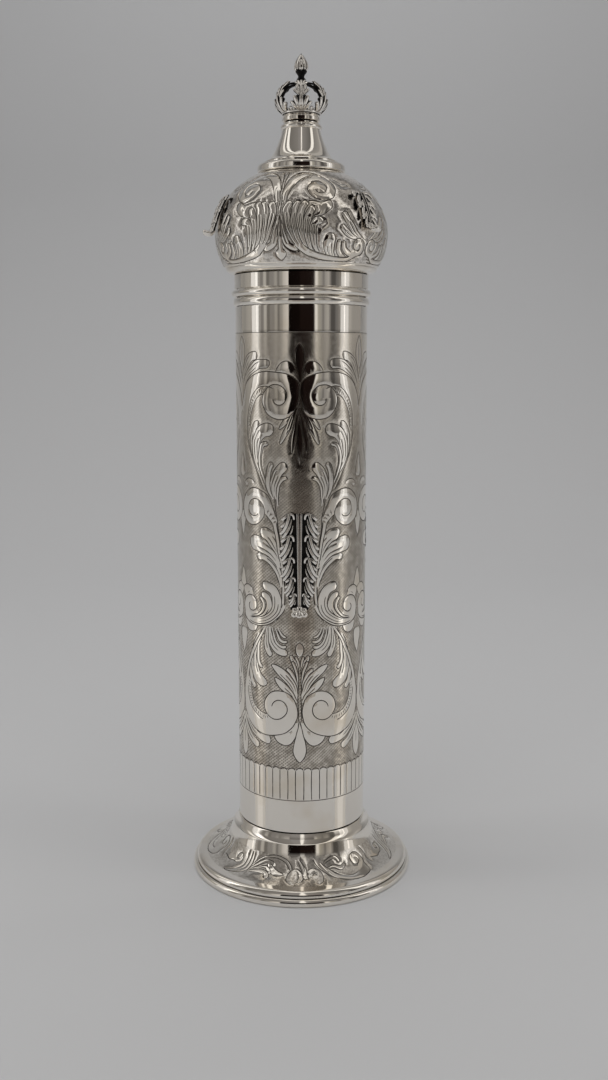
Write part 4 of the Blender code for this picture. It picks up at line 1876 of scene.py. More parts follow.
@dataclass
class Acanthus:
    """A cast acanthus leaf, hung by its broad end, with tiers of lobes and its tip rolled outward.

    Sizes are in millimetres. Each tier has its place along the leaf and its size as a share of a full tier.
    """

    tiers: Points
    fingers: tuple[Finger, ...]
    backing: float = 8.4
    stem_width: float = 2.3
    hook: float = 2.6
    hook_turn: float = 160
    plate: float = 0.45
    relief: float = 0.9
    tip_width: float = 8.2
    crest: float = 0.7

    def hooked(self, line: Path) -> Path:
        """The line, carried on round an outward roll at its lower end.

        Args:
            line: (radius, height) points that run down.

        Returns:
            The longer line.
        """
        end = Vector(line[-1])
        way = (end - Vector(line[-2])).normalized()
        outward = Vector((-way.y, way.x))
        centre = end + outward * self.hook
        turns = [math.radians(self.hook_turn * k / 14) for k in range(1, 15)]
        arms = [(-outward * math.cos(a) + way * math.sin(a)) * self.hook for a in turns]
        return line + [tuple(centre + arm) for arm in arms]

    def cast(self, line: Path, azimuth: float, bend: float, name: str, node: str,
             finishes: list[Material]) -> None:
        """Make one leaf.

        Args:
            line: (radius, height) points that run down, without the roll.
            azimuth: azimuth of the line in degrees.
            bend: radius to which the leaf bends back at its sides.
            name: its name.
            node: the node that it stands for.
            finishes: the materials, in the order of Rub.
        """
        bed = Bed(self.hooked(line), azimuth, bend)
        casting = Casting(16)
        length = sum(math.dist(a, b) for a, b in zip(line, line[1:]))
        places = np.array([place for place, _ in self.tiers] + [length])
        shares = np.array([share for _, share in self.tiers] + [0.4])
        widths = [(y, self.backing * float(np.interp(0.85 * y, places, shares)) * min(1.0, 0.66 + 0.06 * y))
                  for y in np.linspace(0.2, length, 16)]
        casting.plate(bed, [*widths, (length + 1.0, 0.2 * self.tip_width)], self.plate)
        self.stem(casting, bed, length)
        for place, share in self.tiers:
            self.tier(casting, bed, place, share, length)
        self.tip(casting, bed, length)
        casting.build(name, finishes, node)

    def stem(self, casting: Casting, bed: Bed, length: float) -> None:
        """Midrib: a flat ridge that narrows downward, between two fine bright beads.

        Args:
            casting: the casting that gets it.
            bed: the strip that it lies on.
            length: length of the leaf down to its roll.
        """
        up, half = self.plate, 0.5 * self.stem_width
        ends = ((0.0, 1.0), (0.5 * length, 0.72), (length + 0.5, 0.45))
        for side in (-0.45, 0.45):
            casting.rib(bed, [(side * half * share, y) for y, share in ends], 1.2 * half, (up + 0.35,) * 2,
                        0.25 * self.relief, root=0.9, crest=0.9)
        casting.pair(bed, [(half * share, y) for y, share in ends], 0.34 * half,
                     (up + 0.8, up + 0.75, up + 0.5), thick=0.35 * self.relief, root=0.9, crest=0.2)

    def tier(self, casting: Casting, bed: Bed, place: float, k: float, length: float) -> None:
        """One tier of lobes on both sides: each lobe's fingers rise from black hollows to bright ends.

        Args:
            casting: the casting that gets it.
            bed: the strip that it lies on.
            place: the tier's place along the leaf.
            k: its size as a share of a full tier.
            length: length of the leaf down to its roll.
        """
        up, lift = self.plate, self.relief * (0.35 + 0.65 * k)
        for finger in self.fingers:
            line = [(x * k, max(place + y * k, 0.0)) for x, y in finger.path]
            if line[-1][1] < length + 1.5:
                casting.pair(bed, line, finger.width * (0.3 + 0.7 * k),
                             tuple(up + lift * r for r in finger.rise), thick=0.5 * (0.4 + 0.6 * k), root=0.6,
                             crest=self.crest, rubbed_from=up + 0.3 * lift)

    def tip(self, casting: Casting, bed: Bed, length: float) -> None:
        """Rolled end: a broad lobe between two narrow ones, bright all round.

        Args:
            casting: the casting that gets it.
            bed: the strip that it lies on.
            length: length of the leaf down to its roll.
        """
        wide, roll = self.tip_width, self.hook * math.radians(self.hook_turn)
        lobes = ((0.0, 0.48, -2.0, 0.80), (0.33, 0.38, -1.3, 0.66))
        for aside, share, start, end in lobes:
            path = [(0.8 * aside * wide, length + start), (0.86 * aside * wide, length + 0.4 * roll),
                    (aside * wide, length + end * roll)]
            for side in (1, -1) if aside else (1,):
                casting.rib(bed, [(side * x, y) for x, y in path], share * wide, (0.5, 0.6, 0.6),
                            thick=0.21 * wide - aside, root=0.7, crest=-2)


def three_leaves(leaf: Acanthus, line: Path, azimuth: float, bend: float, name: str, node: str,
                 finishes: list[Material]) -> None:
    """Cast the same leaf on every repeat.

    Args:
        leaf: the leaf.
        line: (radius, height) points that run down.
        azimuth: azimuth of the first leaf in degrees.
        bend: radius to which the leaves bend back at their sides.
        name: start of their names.
        node: start of their nodes' names.
        finishes: the materials, in the order of Rub.
    """
    for number in range(REPEATS):
        turn = azimuth + 360 * number / REPEATS
        leaf.cast(line, turn, bend, f"{name}_{number + 1}", f"{node}_{number + 1}", finishes)


@dataclass
class CaseLeaves:
    """The three leaves below the middle of the tube. Sizes are in millimetres."""

    finishes: list[Material]
    azimuth: float = -1.5
    gap: float = 0.3
    length: float = 46.5
    tiers: Points = ((-0.4, 0.96), (9.9, 1.0), (20.6, 0.92), (30.2, 0.76), (38.2, 0.54))
    fingers: tuple[Finger, ...] = (
        Finger(((2.7, 4.0), (3.2, 1.2), (4.4, 0.8), (5.2, 3.6), (6.4, 7.2), (8.0, 9.8), (9.8, 11.0)), 1.8,
               (0.3, 0.9, 1.3, 1.4, 1.2, 0.8, 0.3)),
        Finger(((5.0, 0.9), (6.6, 2.2), (8.6, 4.3)), 1.8, (0.5, 0.9, 0.5)),
        Finger(((5.9, 4.4), (7.2, 6.0), (9.2, 7.8)), 1.65, (0.6, 0.8, 0.3)),
        Finger(((3.9, 3.2), (4.6, 6.8), (6.2, 10.2), (8.4, 13.2)), 1.6, (0.2, 0.9, 1.1, 0.5)),
        Finger(((3.1, 6.2), (3.5, 8.6), (4.6, 11.2)), 0.9, (0.1, 0.6, 0.7)))

    def build(self) -> None:
        """Cast the leaves where their nodes are."""
        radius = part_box("case_tube")[1].x / MM + self.gap
        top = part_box("case_leaf_1")[1].z / MM
        line = [(radius, top - self.length * k / 30) for k in range(31)]
        three_leaves(Acanthus(self.tiers, self.fingers), line, self.azimuth, radius, "tube_acanthus",
                     "case_leaf", self.finishes)


@dataclass
class LidLeaves:
    """The three leaves that hook out over the dome. Sizes are in millimetres."""

    finishes: list[Material]
    dome: "Lid"
    azimuth: float = 47.0
    bend: float = 40.0
    gap: float = 0.3
    tiers: Points = ((-0.2, 1.0), (6.0, 0.86), (11.6, 0.74), (16.6, 0.6))
    fingers: tuple[Finger, ...] = (
        Finger(((1.0, 1.6), (2.4, 0.4), (4.6, 0.8), (6.3, 3.4)), 2.5, (0.4, 0.9, 1.1, 1.4)),
        Finger(((0.9, 2.6), (2.2, 2.6), (3.9, 4.8), (5.0, 7.6)), 2.1, (0.2, 0.8, 1.0, 1.3)),
        Finger(((0.8, 4.2), (1.5, 5.8), (2.6, 8.8)), 1.5, (0.1, 0.6, 1.0)))

    def build(self) -> None:
        """Cast the leaves where their nodes are."""
        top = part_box("lid_leaf_1")[1].z / MM
        highest = math.degrees(math.asin((top - self.dome.widest) / self.dome.rise))
        line = []
        for share in np.linspace(0, 1, 24):
            radius, height = self.dome.dome_point(highest + (-0.5 - highest) * share)
            lift = self.gap + 1.4 * share ** 4
            line.append((radius + lift, height + 0.4 * lift))
        leaf = Acanthus(self.tiers, self.fingers, backing=4.6, stem_width=2.0, hook=2.4, hook_turn=205,
                        plate=0.35, relief=0.8, tip_width=6.4, crest=0.45)
        three_leaves(leaf, line, self.azimuth, self.bend, "dome_acanthus", "lid_leaf", self.finishes)


@dataclass
class Crown:
    """Open crown of six leaf arches, cast as one, and the bud above it. Sizes are in millimetres."""

    finishes: list[Material]
    arches: int = 6
    ring: float = 9.2
    ring_height: float = 1.2
    widest: float = 11.8
    widest_at: float = 380.5
    top: float = 387.4
    hub: float = 3.4

    def build(self) -> None:
        """Make the crown and the bud."""
        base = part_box("crown")[0].z / MM
        ring, over = self.ring, base + self.ring_height
        casting = Casting(8)
        casting.turned([(ring - 1.8, base), (ring - 0.2, base), (ring, base + 0.2), (ring, base + 1.0),
                        (ring - 0.2, over), (ring - 1.8, over), (ring - 1.8, base)], 72)
        casting.turned([(0, self.top - 2.4), (2.4, self.top - 2.2), (self.hub, self.top - 1.2),
                        (0.85 * self.hub, self.top - 0.3), (0.4 * self.hub, self.top), (0, self.top)],
                       36, 6, 0.06, Rub.BLACK)
        for number in range(self.arches):
            self.arch(casting, base, 360 * number / self.arches)
            self.between(casting, base, 360 * (number + 0.5) / self.arches)
        casting.build("arched_crown", self.finishes, "crown")
        self.bud()

    def arch(self, casting: Casting, base: float, azimuth: float) -> None:
        """One arch: a broad leaf at its foot and two smaller ones up to the hub.

        Args:
            casting: the casting that gets it.
            base: height of the crown's foot.
            azimuth: direction of the arch in degrees.
        """
        lower = bezier([(8.2, base + 0.4), (11.8, base + 1.4), (self.widest + 1.3, self.widest_at - 3.0),
                        (self.widest, self.widest_at)], 16)
        upper = bezier([(self.widest, self.widest_at), (self.widest - 1.0, self.widest_at + 3.1),
                        (8.0, self.top - 0.8), (2.3, self.top - 0.6)], 16)
        bed = Bed(lower + upper[1:], azimuth, 7.0)
        size = bed.run[-1]
        # the black backs of the arch and of its broad leaf, with a crest that no cloth has reached
        casting.rib(bed, [(0, 0), (0, 0.5 * size), (0, size)], 3.0, (-0.5, -0.5), thick=0.45, root=0.9,
                    crest=2)
        casting.rib(bed, [(0, 0), (0, 3.6), (0, 7.6)], 6.2, (-0.6, -0.5, -0.3), thick=0.35, root=0.8, crest=2)
        for start, reach, spread in ((0.2, 8.8, 4.7), (7.6, 6.4, 3.3), (12.6, 5.6, 2.7)):
            thick = 0.30 + 0.05 * spread
            casting.rib(bed, [(0, start), (0, start + 0.6 * reach), (0, start + reach)], 0.50 * spread,
                        (0.0, 0.3, 0.7), thick=thick, tip=Tip.POINTED, crest=0.72)
            for side, height, width in ((1.0, 0.58, 0.50), (0.62, 0.88, 0.46)):
                path = [(0.10 * spread, start), (0.55 * side * spread, start + 0.45 * height * reach),
                        (side * spread, start + height * reach)]
                casting.pair(bed, path, width * spread, (-0.2, 0.1, 0.7), thick=thick, crest=0.72)

    @staticmethod
    def between(casting: Casting, base: float, azimuth: float) -> None:
        """Small lobes that stand on the ring between two arches.

        Args:
            casting: the casting that gets them.
            base: height of the crown's foot.
            azimuth: their direction in degrees.
        """
        bed = Bed([(8.3, base + 0.4), (9.3, base + 1.4), (9.9, base + 3.4)], azimuth, 8.0)
        casting.rib(bed, [(0, 0), (0, 1.4), (0, 2.8)], 1.6, (0, 0, 0.3), thick=0.4)
        casting.pair(bed, [(0.5, 0.2), (1.3, 1.0), (1.9, 2.0)], 1.2, (0, 0, 0.3), thick=0.35)

    def bud(self, petals: int = 5) -> None:
        """Bud of pointed petals on a waisted stem.

        Args:
            petals: how many there are in each of its two rows.
        """
        _, bottom, top = in_mm(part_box("bud_finial"))
        neck = top - 8.5
        casting = Casting(8)
        stem = [(0, bottom), (2.2, bottom), (2.2, bottom + 0.5), *bezier(
            [(1.9, bottom + 0.8), (1.2, bottom + 1.6), (1.2, neck - 1.8), (2.5, neck - 0.3)], 10),
            (2.7, neck + 0.1), (2.4, neck + 0.5), (0, neck + 0.7)]
        casting.turned(stem, 32, kind=Rub.BLACK)
        body = bezier([(2.0, neck + 0.1), (4.0, neck + 2.0), (1.6, top - 3.4), (0.1, top - 0.3)], 20)
        casting.turned([(0, neck), *body, (0, top)], 30, petals, 0.04, Rub.BLACK)
        swell = bezier([(2.2, neck + 0.1), (4.5, neck + 1.9), (1.9, top - 3.4), (0.25, top - 0.4)], 30)
        for number in range(petals):
            for turn, low_end, reach, width in ((0.5, 0.6, 0.97, 2.6), (0.0, 0.0, 0.62, 3.0)):
                bed = Bed(swell, 360 * (number + turn) / petals, 3.0)
                size = bed.run[-1]
                start = [(0, low_end), (0, 0.5 * reach * size)]
                casting.rib(bed, [*start, (0, reach * size)], width, (-0.15, 0.1, 0.35 - turn * 0.6),
                            thick=0.3, tip=Tip.POINTED, root=0.6, crest=0.4)
                casting.rib(bed, [*start, (0, 0.95 * reach * size)], 0.3 * width,
                            (0.05, 0.15, 0.2 - turn * 0.4), thick=0.18, tip=Tip.POINTED, root=0.6)
        casting.build("petal_bud", self.finishes, "bud_finial")


@dataclass
class Finishes:
    """The finishes of the whole object, made once."""

    polished: Material = field(default_factory=MirrorSilver().material)
    matted: Material = field(default_factory=MattedSilver().material)
    stippled: Material = field(default_factory=StippledSilver().material)
    # the foot's ground is pricked more finely and rubbed to a satin
    satin: Material = field(default_factory=StippledSilver(
        "satin_silver", "F4EFE7", "C2BBB1", 0.6, (0.10, 0.18)).material)
    cuts: Material = field(default_factory=Niello().material)
    # the cuts of the dome and the foot hold a little less black
    soft_cuts: Material = field(default_factory=Niello("worn_cuts", "47423C", "958E85").material)
    rubbed: Material = field(default_factory=OxidisedCasting().material)
    black: Material = field(default_factory=BlackedHollow().material)

    @property
    def cast(self) -> list[Material]:
        """The finishes of a casting, in the order of Rub."""
        return [self.rubbed, self.black, self.polished]


@dataclass
class Case:
    """The engraved tube and the wire round its mouth. Sizes are in millimetres."""

    finishes: Finishes
    wall: float = 0.9
    turn: float = -1.5
    plain_top: float = 272.0
    plain_bottom: float = 42.5
    floor: float = 1.0
    edge: float = 0.3
    fillet: float = 0.8
    columns: int = 132

    def build(self) -> None:
        """Make the pieces of the case."""
        radius, bottom, top = in_mm(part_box("case_tube"))
        hollow = radius - self.wall
        floor = bottom + self.floor
        face = Face([(radius, bottom), (radius, top)], radius, self.turn)
        drawing = TubeOrnament(face).draw()
        relief = Relief(drawing, face, self.plain_bottom, self.plain_top, Tooling(steady=17))
        below = turned_block([(0, bottom), (radius - self.edge, bottom), (radius, bottom + self.edge),
                              (radius, self.plain_bottom)], self.columns, self.turn)
        above = turned_block([(radius, self.plain_top), (radius, top), (hollow, top),
                              (hollow, floor + self.fillet), (hollow - self.fillet, floor), (0, floor)],
                             self.columns, self.turn)
        piece = Skin(below, relief.block(), above).build(
            "engraved_tube", [self.finishes.polished, self.finishes.matted, self.finishes.cuts])
        takes_place(piece, "case_tube")
        Turned(self.finishes.polished).wire("mouth_wire", "mouth_bead", hollow)


@dataclass
class Lid:
    """Band with its sleeve, wire, chased dome, disc, neck and collar. Sizes are in millimetres."""

    finishes: Finishes
    wall: float = 0.9
    gap: float = 0.3
    turn: float = -13.5
    widest: float = 317.0
    rise: float = 32.4
    drop: float = 33.9
    edge: float = 36.9
    shoulder: float = 21.7
    hole: float = 16.0
    low: float = 301.9
    high: float = 343.6
    bead_middle: Point = (33.0, 2.9)
    bead_size: Point = (3.5, 2.7)
    waist: float = 9.0
    waist_from: float = 357.6
    columns: int = 132

    def build(self) -> None:
        """Make the pieces of the lid."""
        turned = Turned(self.finishes.polished)
        tube_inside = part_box("case_tube")[1].x / MM - self.wall
        turned.wire("lid_wire", "lid_bead", tube_inside)
        self.band(turned, tube_inside - self.gap)
        self.dome()
        self.disc(turned)
        self.neck(turned)
        self.collar(turned)

    def band(self, turned: Turned, sleeve: float) -> None:
        """The plain band and the sleeve that goes down into the tube.

        Args:
            turned: what turns it.
            sleeve: radius of the sleeve.
        """
        radius, bottom, top = in_mm(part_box("lid_band"))
        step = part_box("lid_bead")[1].z / MM + self.gap
        inner = sleeve - self.wall
        turned.piece("plain_band", [
            (inner, bottom), (sleeve - 0.3, bottom), (sleeve, bottom + 0.3), (sleeve, step),
            (radius - 0.2, step), (radius, step + 0.2), (radius, top - 0.2), (radius - 0.2, top),
            (inner, top), (inner, bottom)], "lid_band")

    def dome_point(self, angle: float) -> Point:
        """Point on the dome's outer face.

        Args:
            angle: degrees above its widest ring.

        Returns:
            Its radius and height.
        """
        tall = self.rise if angle > 0 else self.drop
        a = math.radians(angle)
        return (self.radius * math.cos(a), self.widest + tall * math.sin(a))

    def dome(self) -> None:
        """The chased dome, a hollow shell."""
        self.radius, bottom, _ = in_mm(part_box("lid_dome"))
        lowest = -math.degrees(math.acos(self.edge / self.radius))
        highest = math.degrees(math.acos(self.shoulder / self.radius))
        round_face = [self.dome_point(a) for a in np.linspace(lowest, highest, 90)]
        face = Face(round_face, self.radius, self.turn)
        field_low = face.up_at_height(self.low)
        field_high = face.up_at_height(self.high)
        tooling = Tooling(0.26, 2.6, 0.48, 0.75, self.columns // 6, Hand(seed=11))
        relief = Relief(DomeOrnament(face).draw(), face, field_low, field_high, tooling)
        starts = (float(np.interp(field_low, face.rise, face.radius)), self.low)
        ends = (float(np.interp(field_high, face.rise, face.radius)), self.high)
        bead = arc((self.bead_middle[0], bottom + self.bead_middle[1]), self.bead_size, -88, -4, 12)
        foot = [(bead[0][0] - 0.5, bottom), *bead,
                *[p for p in round_face if bead[-1][1] < p[1] < self.low], starts]
        head = [ends, *[p for p in round_face if p[1] > self.high], (self.hole, round_face[-1][1])]
        inner = shell([*foot, *[p for p in round_face[::3] if self.low < p[1] < self.high], *head], self.wall)
        plain = [turned_block(line, self.columns, self.turn)
                 for line in (foot, head, [head[-1], *inner[len(inner) // 2:]])]
        piece = Skin(plain[0], relief.block(), *plain[1:]).build(
            "chased_dome", [self.finishes.polished, self.finishes.stippled, self.finishes.soft_cuts])
        takes_place(piece, "lid_dome")

    def disc(self, turned: Turned, corner: float = 1.6, under: float = 1.2, hole: float = 12.0) -> None:
        """Plain disc with a rounded edge, a pressed shell.

        Args:
            turned: what turns it.
            corner: radius of its upper edge.
            under: how high its under edge is rounded.
            hole: radius to which its face runs in.
        """
        radius, bottom, top = in_mm(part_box("lid_disc"))
        edge = arc((radius - corner, bottom + under), (corner, under), -60, 0, 6)
        edge += arc((radius - corner, top - corner), (corner, corner), 0, 90, 10) + [(hole, top)]
        turned.piece("shoulder_disc", shell(edge, self.wall), "lid_disc")

    def neck(self, turned: Turned) -> None:
        """Waisted neck, hollow and closed at its top, with a ring under the collar.

        Args:
            turned: what turns it.
        """
        foot, bottom, top = in_mm(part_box("lid_neck"))
        waist, ring = self.waist, top - 1.9
        bell = [(foot, bottom), (foot, bottom + 0.7)]
        bell += bezier([(foot - 0.3, bottom + 1.1), (14.4, bottom + 1.5), (waist + 2.2, self.waist_from),
                        (waist, ring - 1.1)], 32)
        bell += arc((waist, ring), (0.8, 1.0), -60, 60, 10)
        bell += [(waist - 0.7, ring + 1.3), (waist - 0.7, top), (0, top)]
        outline = shell(bell, self.wall)[:-2] + [(foot - self.wall, bottom), bell[0]]
        turned.piece("bell_neck", outline, "lid_neck")

    @staticmethod
    def collar(turned: Turned, hole: float = 5.0) -> None:
        """Turned collar with a groove round it.

        Args:
            turned: what turns it.
            hole: radius of its hole.
        """
        radius, bottom, top = in_mm(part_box("neck_collar"))
        turned.piece("grooved_collar", [
            (hole, bottom), (radius - 0.9, bottom), (radius, bottom + 0.5), (radius, top - 1.5),
            *arc((radius + 0.1, top - 1.1), (0.5, 0.4), 270, 90, 8), (radius, top - 0.7), (radius - 0.3, top),
            (hole, top), (hole, bottom)], "neck_collar")


@dataclass
class Foot:
    """The chased foot and the wire that it stands on. Sizes are in millimetres."""

    finishes: Finishes
    wall: float = 0.9
    turn: float = -64.0
    collar: Point = (34.4, 22.8)
    border: Point = (49.4, 7.5)
    lip: Point = (3.0, 2.8)
    lip_radius: float = 51.3
    # steps inside the collar: radius, and depth under the foot's top
    steps: Points = ((33.1, 2.3), (32.6, 0.3), (32.3, 0.0))
    steep_to: float = 15.0
    flat_from: float = 9.8
    hole: float = 27.0
    low: float = 49.2
    high: float = 36.7
    columns: int = 132

    def build(self) -> None:
        """Make the foot and its rim."""
        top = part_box("foot")[1].z / MM
        rim_radius, _, rim_top = in_mm(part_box("foot_rim"))
        lip = arc((self.lip_radius, rim_top + 0.8), self.lip, -8, 75, 12)
        sweep = bezier([self.border, (self.border[0] - 8.6, self.flat_from),
                        (self.collar[0] + 2.4, self.steep_to),
                        (self.collar[0] + 0.6, self.collar[1] - 0.4)], 60)
        face = Face(sweep, 42.0, self.turn)
        field_low = face.up_at_radius(self.low)
        field_high = face.up_at_radius(self.high)
        tooling = Tooling(0.26, 2.6, 0.24, 0.8, self.columns // 6, Hand(seed=5))
        relief = Relief(FootOrnament(face, True).draw(), face, field_low, field_high, tooling, False)
        starts = (self.low, float(np.interp(field_low, face.rise, face.height)))
        ends = (self.high, float(np.interp(field_high, face.rise, face.height)))
        below = [*lip, *[p for p in sweep if p[0] > self.low + 0.05], starts]
        above = [ends, *[p for p in sweep if p[0] < self.high - 0.05], self.collar,
                 *[(radius, top - depth) for radius, depth in self.steps], (self.hole, top)]
        inner = shell([*below, *[p for p in sweep[::3] if self.high < p[0] < self.low], *above], self.wall)
        plain = [turned_block(line, self.columns, self.turn)
                 for line in (below, above, [above[-1], *inner[len(inner) // 2:]])]
        piece = Skin(plain[0], relief.block(), *plain[1:]).build(
            "chased_foot", [self.finishes.polished, self.finishes.satin, self.finishes.soft_cuts])
        takes_place(piece, "foot")
        self.rim(rim_radius, rim_top)

    def rim(self, radius: float, height: float, width: float = 2.9) -> None:
        """Rounded wire under the edge of the foot.

        Args:
            radius: its outer radius.
            height: its height.
            width: its width.
        """
        crest = arc((radius - 1.6, 1.4), (1.6, height - 1.4), -20, 90, 14)
        inner = radius - width
        Turned(self.finishes.polished).piece(
            "rim_wire", [(inner, 0), (radius - 0.5, 0), *crest, (inner, height), (inner, 0)], "foot_rim")


# ---------------------------------------------------------------- studio and camera


@dataclass(frozen=True)
class Wall:
    """A strip of the light tent's wall: the angle from the front at which it begins, and its two tones."""

    angle: float
    tone: str
    end_tone: str | None = None


@dataclass
class Studio:
    """Pale paper under and behind the object, a light tent with an opening for the viewer, and soft lamps."""

    paper: str = "D0D1D3"
    near: float = -1.6
    far: float = 0.75
    bend: float = 0.55
    top: float = 2.4
    side: float = 1.8
    ceiling: str = "E8E5E1"
    beyond: str = "ABABAB"
    walls: tuple[Wall, ...] = (
        Wall(-180, "A3A09C", "9A9794"), Wall(-136, "8F8C88", "82807C"), Wall(-112, "8B8884", "98958F"),
        Wall(-97, "837F7B", "797672"), Wall(-77, "8F8C88"), Wall(-74, "74716E"), Wall(-67.5, "A29F9A"),
        Wall(-61.5, "66635F"), Wall(-55.5, "7B7875"), Wall(-46.5, "928F8A"), Wall(-41, "686562"),
        Wall(-37.5, "84817D", "918E89"), Wall(-31.5, "A8A49F", "C2BEB9"), Wall(-21.5, "0B0706", "0F0A09"),
        Wall(-2, "18110F"), Wall(23, "D0CCC6"), Wall(28, "969389", "85827E"), Wall(36.5, "6B6866"),
        Wall(39.5, "8B8884", "9E9B96"), Wall(48.5, "787572"), Wall(51.5, "4A4846"),
        Wall(60.5, "646260", "6D6A67"), Wall(67, "797672", "837F7B"), Wall(90, "A19E99", "8F8C88"),
        Wall(99, "8A8783"), Wall(128, "85827E", "A3A09C"), Wall(180, "A3A09C"))
    upper_walls: tuple[Wall, ...] = (
        Wall(-180, "A5A29E", "94918D"), Wall(-110, "F6F3EE"), Wall(-100, "6F6C69"), Wall(-90, "FBF9F5"),
        Wall(-75, "6D6A67", "7E7B78"), Wall(-20, "858280"), Wall(-2, "F6F3EE"), Wall(5, "858280", "62605D"),
        Wall(62, "F6F3EE"), Wall(78, "7F7C79", "94918D"), Wall(112, "A5A29E"), Wall(180, "A5A29E"))

    # standing lamps at the sides: name, direction, width and power of the strip, and direction of its tube
    strips: tuple[tuple[str, float, float, float, float], ...] = (
        ("left", -85, 0.26, 0.33, -81), ("right", 79, 0.28, 0.31, 78.5))
    strip_distance: float = 0.9
    tube_distance: float = 0.88
    tube_width: float = 0.036
    tube_power: float = 0.04
    lamp_middle: float = 0.42
    lamp_height: float = 0.8
    # glowing wedges under each strip, which only the silver mirrors, as painted reflections of the strip's
    # light
    # on the paper: name, half angle, where it begins and ends, tone and height
    side_glow_wedges: tuple[tuple[str, float, float, float, str, float], ...] = (
        ("glow", 14, 0.034, 0.86, "B5B2AE", 1), ("inner_glow", 7, 0.034, 0.86, "C8C5C1", 2),
        ("streak", 4, 0.36, 0.89, "FFFDF9", 3))
    glow_wedge_turn: float = 0.96

    def build(self) -> None:
        """Make the paper, the tent, the lamps, and the glowing wedges that paint reflections of light and
        shade on the paper.
        """
        self.sweep()
        self.tent()
        self.lamp("overhead_lamp", (0.0, -0.42, 2.0), (0, 0, 0), (1.7, 1.7), 14.9, False)
        self.lamp("backdrop_lamp", (0.0, 0.5, 1.45), (math.radians(54), 0, 0), (0.5, 0.5), 2.3, False)
        for name, angle, width, power, tube in self.strips:
            self.standing_lamp(f"{name}_strip", angle, self.strip_distance, width, power)
            # a bright tube a little in front of the strip, where it isn't hidden
            self.standing_lamp(f"{name}_tube_lamp", tube, self.tube_distance, self.tube_width,
                               self.tube_power)
            # glowing wedges under the strip, painted reflections of its light on the paper
            for cloth, *sizes in self.side_glow_wedges:
                self.flap(f"{name}_{cloth}", self.glow_wedge_turn * angle, *sizes)
        # dark wedges in front, which only the silver mirrors: a painted shadow of the camera on the paper
        self.flap("wide_shade", 0, 24, 0.38, 1.5, "9A9691", 1)
        self.flap("dark_shade", 0, 15, 0.46, 1.5, "7C7570", 2)

    def standing_lamp(self, name: str, angle: float, distance: float, width: float, power: float) -> None:
        """An upright lamp that faces the object.

        Args:
            name: its name.
            angle: its direction in degrees from the front.
            distance: metres from the object.
            width: its width in metres.
            power: its power in watts.
        """
        turn = math.radians(angle)
        place = (distance * math.sin(turn), -distance * math.cos(turn), self.lamp_middle)
        self.lamp(name, place, (math.radians(90), 0, turn), (width, self.lamp_height), power, True)

    @staticmethod
    def flap(name: str, angle: float, spread: float, near: float, far: float, tone: str,
             height: float) -> None:
        """A glowing wedge just over the paper, which only the silver mirrors, with its point on the tube: a
        painted reflection, bright for the light under a strip and dark for the shade in front of the object.

        Args:
            name: its name.
            angle: its middle direction in degrees from the front.
            spread: half the angle between its sides.
            near: distance in metres at which it begins.
            far: distance at which it ends.
            tone: its tone.
            height: its height over the paper in millimetres.
        """
        # the tube mirrors it from where its face stands half way between the wedge and the viewer
        half = math.radians(0.5 * angle)
        face = Vector((math.sin(half), -math.cos(half), 0)) * (TUBE_RADIUS * MM)
        sides = [math.radians(angle + side * spread) for side in (-1, 1)]
        corners = [face + Vector((math.sin(side), -math.cos(side), 0)) * reach
                   for side, reach in ((sides[0], near), (sides[0], far), (sides[1], far), (sides[1], near))]
        mesh = bpy.data.meshes.new(name)
        mesh.from_pydata([(*corner.xy, height * MM) for corner in corners], [], [(0, 1, 2, 3)])
        graph = Graph(name)
        # a sheet that glows by itself, though it is no lamp: a painted reflection that only the silver sees
        graph.set(Base_Color=colour("000000"), Roughness=1.0, Emission_Color=colour(tone),
                  Emission_Strength=1.0)
        mesh.materials.append(graph.material)
        flap = put_in_scene(name, mesh)
        flap.visible_camera = flap.visible_diffuse = flap.visible_shadow = False

    def sweep(self) -> None:
        """Floor that bends up into the backdrop."""
        line = [(self.near, 0.0), (0.5 * self.near, 0.0), (0.0, 0.0),
                *arc((self.far, self.bend), (self.bend, self.bend), -90, 0, 24),
                (self.far + self.bend, self.top)]
        points = [(x, y, z) for x in (-self.side, self.side) for y, z in line]
        count = len(line)
        faces = [(i, i + count, i + count + 1, i + 1) for i in range(count - 1)]
        mesh = bpy.data.meshes.new("paper_sweep")
        mesh.from_pydata(points, [], faces)
        mesh.shade_smooth()
        floor = put_in_scene("paper_sweep", mesh)
        graph = Graph("pale_paper")
        # plain matt paper, a cool shade off white
        graph.set(Base_Color=colour(self.paper), Roughness=0.9)
        mesh.materials.append(graph.material)

    @staticmethod
    def lamp(name: str, place: tuple[float, ...], turn: tuple[float, ...], size: Point, power: float,
             mirrored: bool) -> None:
        """A soft lamp.

        Args:
            name: its name.
            place: where it stands, in metres.
            turn: its rotation in radians.
            size: its width and height in metres.
            power: its power in watts.
            mirrored: whether the silver mirrors it; otherwise it hangs behind the tent's cloth.
        """
        data = bpy.data.lights.new(name, "AREA")
        data.shape = "RECTANGLE"
        data.size, data.size_y = size
        data.energy = power
        lamp = put_in_scene(name, data)
        lamp.location, lamp.rotation_euler = place, turn
        lamp.visible_glossy = mirrored

    @staticmethod
    def cloth(graph: Graph, share: Socket, walls: tuple[Wall, ...]) -> Socket:
        """Tones of strips of cloth round the object.

        Args:
            graph: the world's graph.
            share: output with the share of a whole turn.
            walls: the strips.

        Returns:
            The output with the tone.
        """
        stops = []
        for wall, following in zip(walls, walls[1:]):
            soft = min(0.8, 0.25 * (following.angle - wall.angle))
            stops.append(((wall.angle + soft) / 360 + 0.5, wall.tone))
            stops.append(((following.angle - soft) / 360 + 0.5, wall.end_tone or wall.tone))
        half = len(stops) // 2
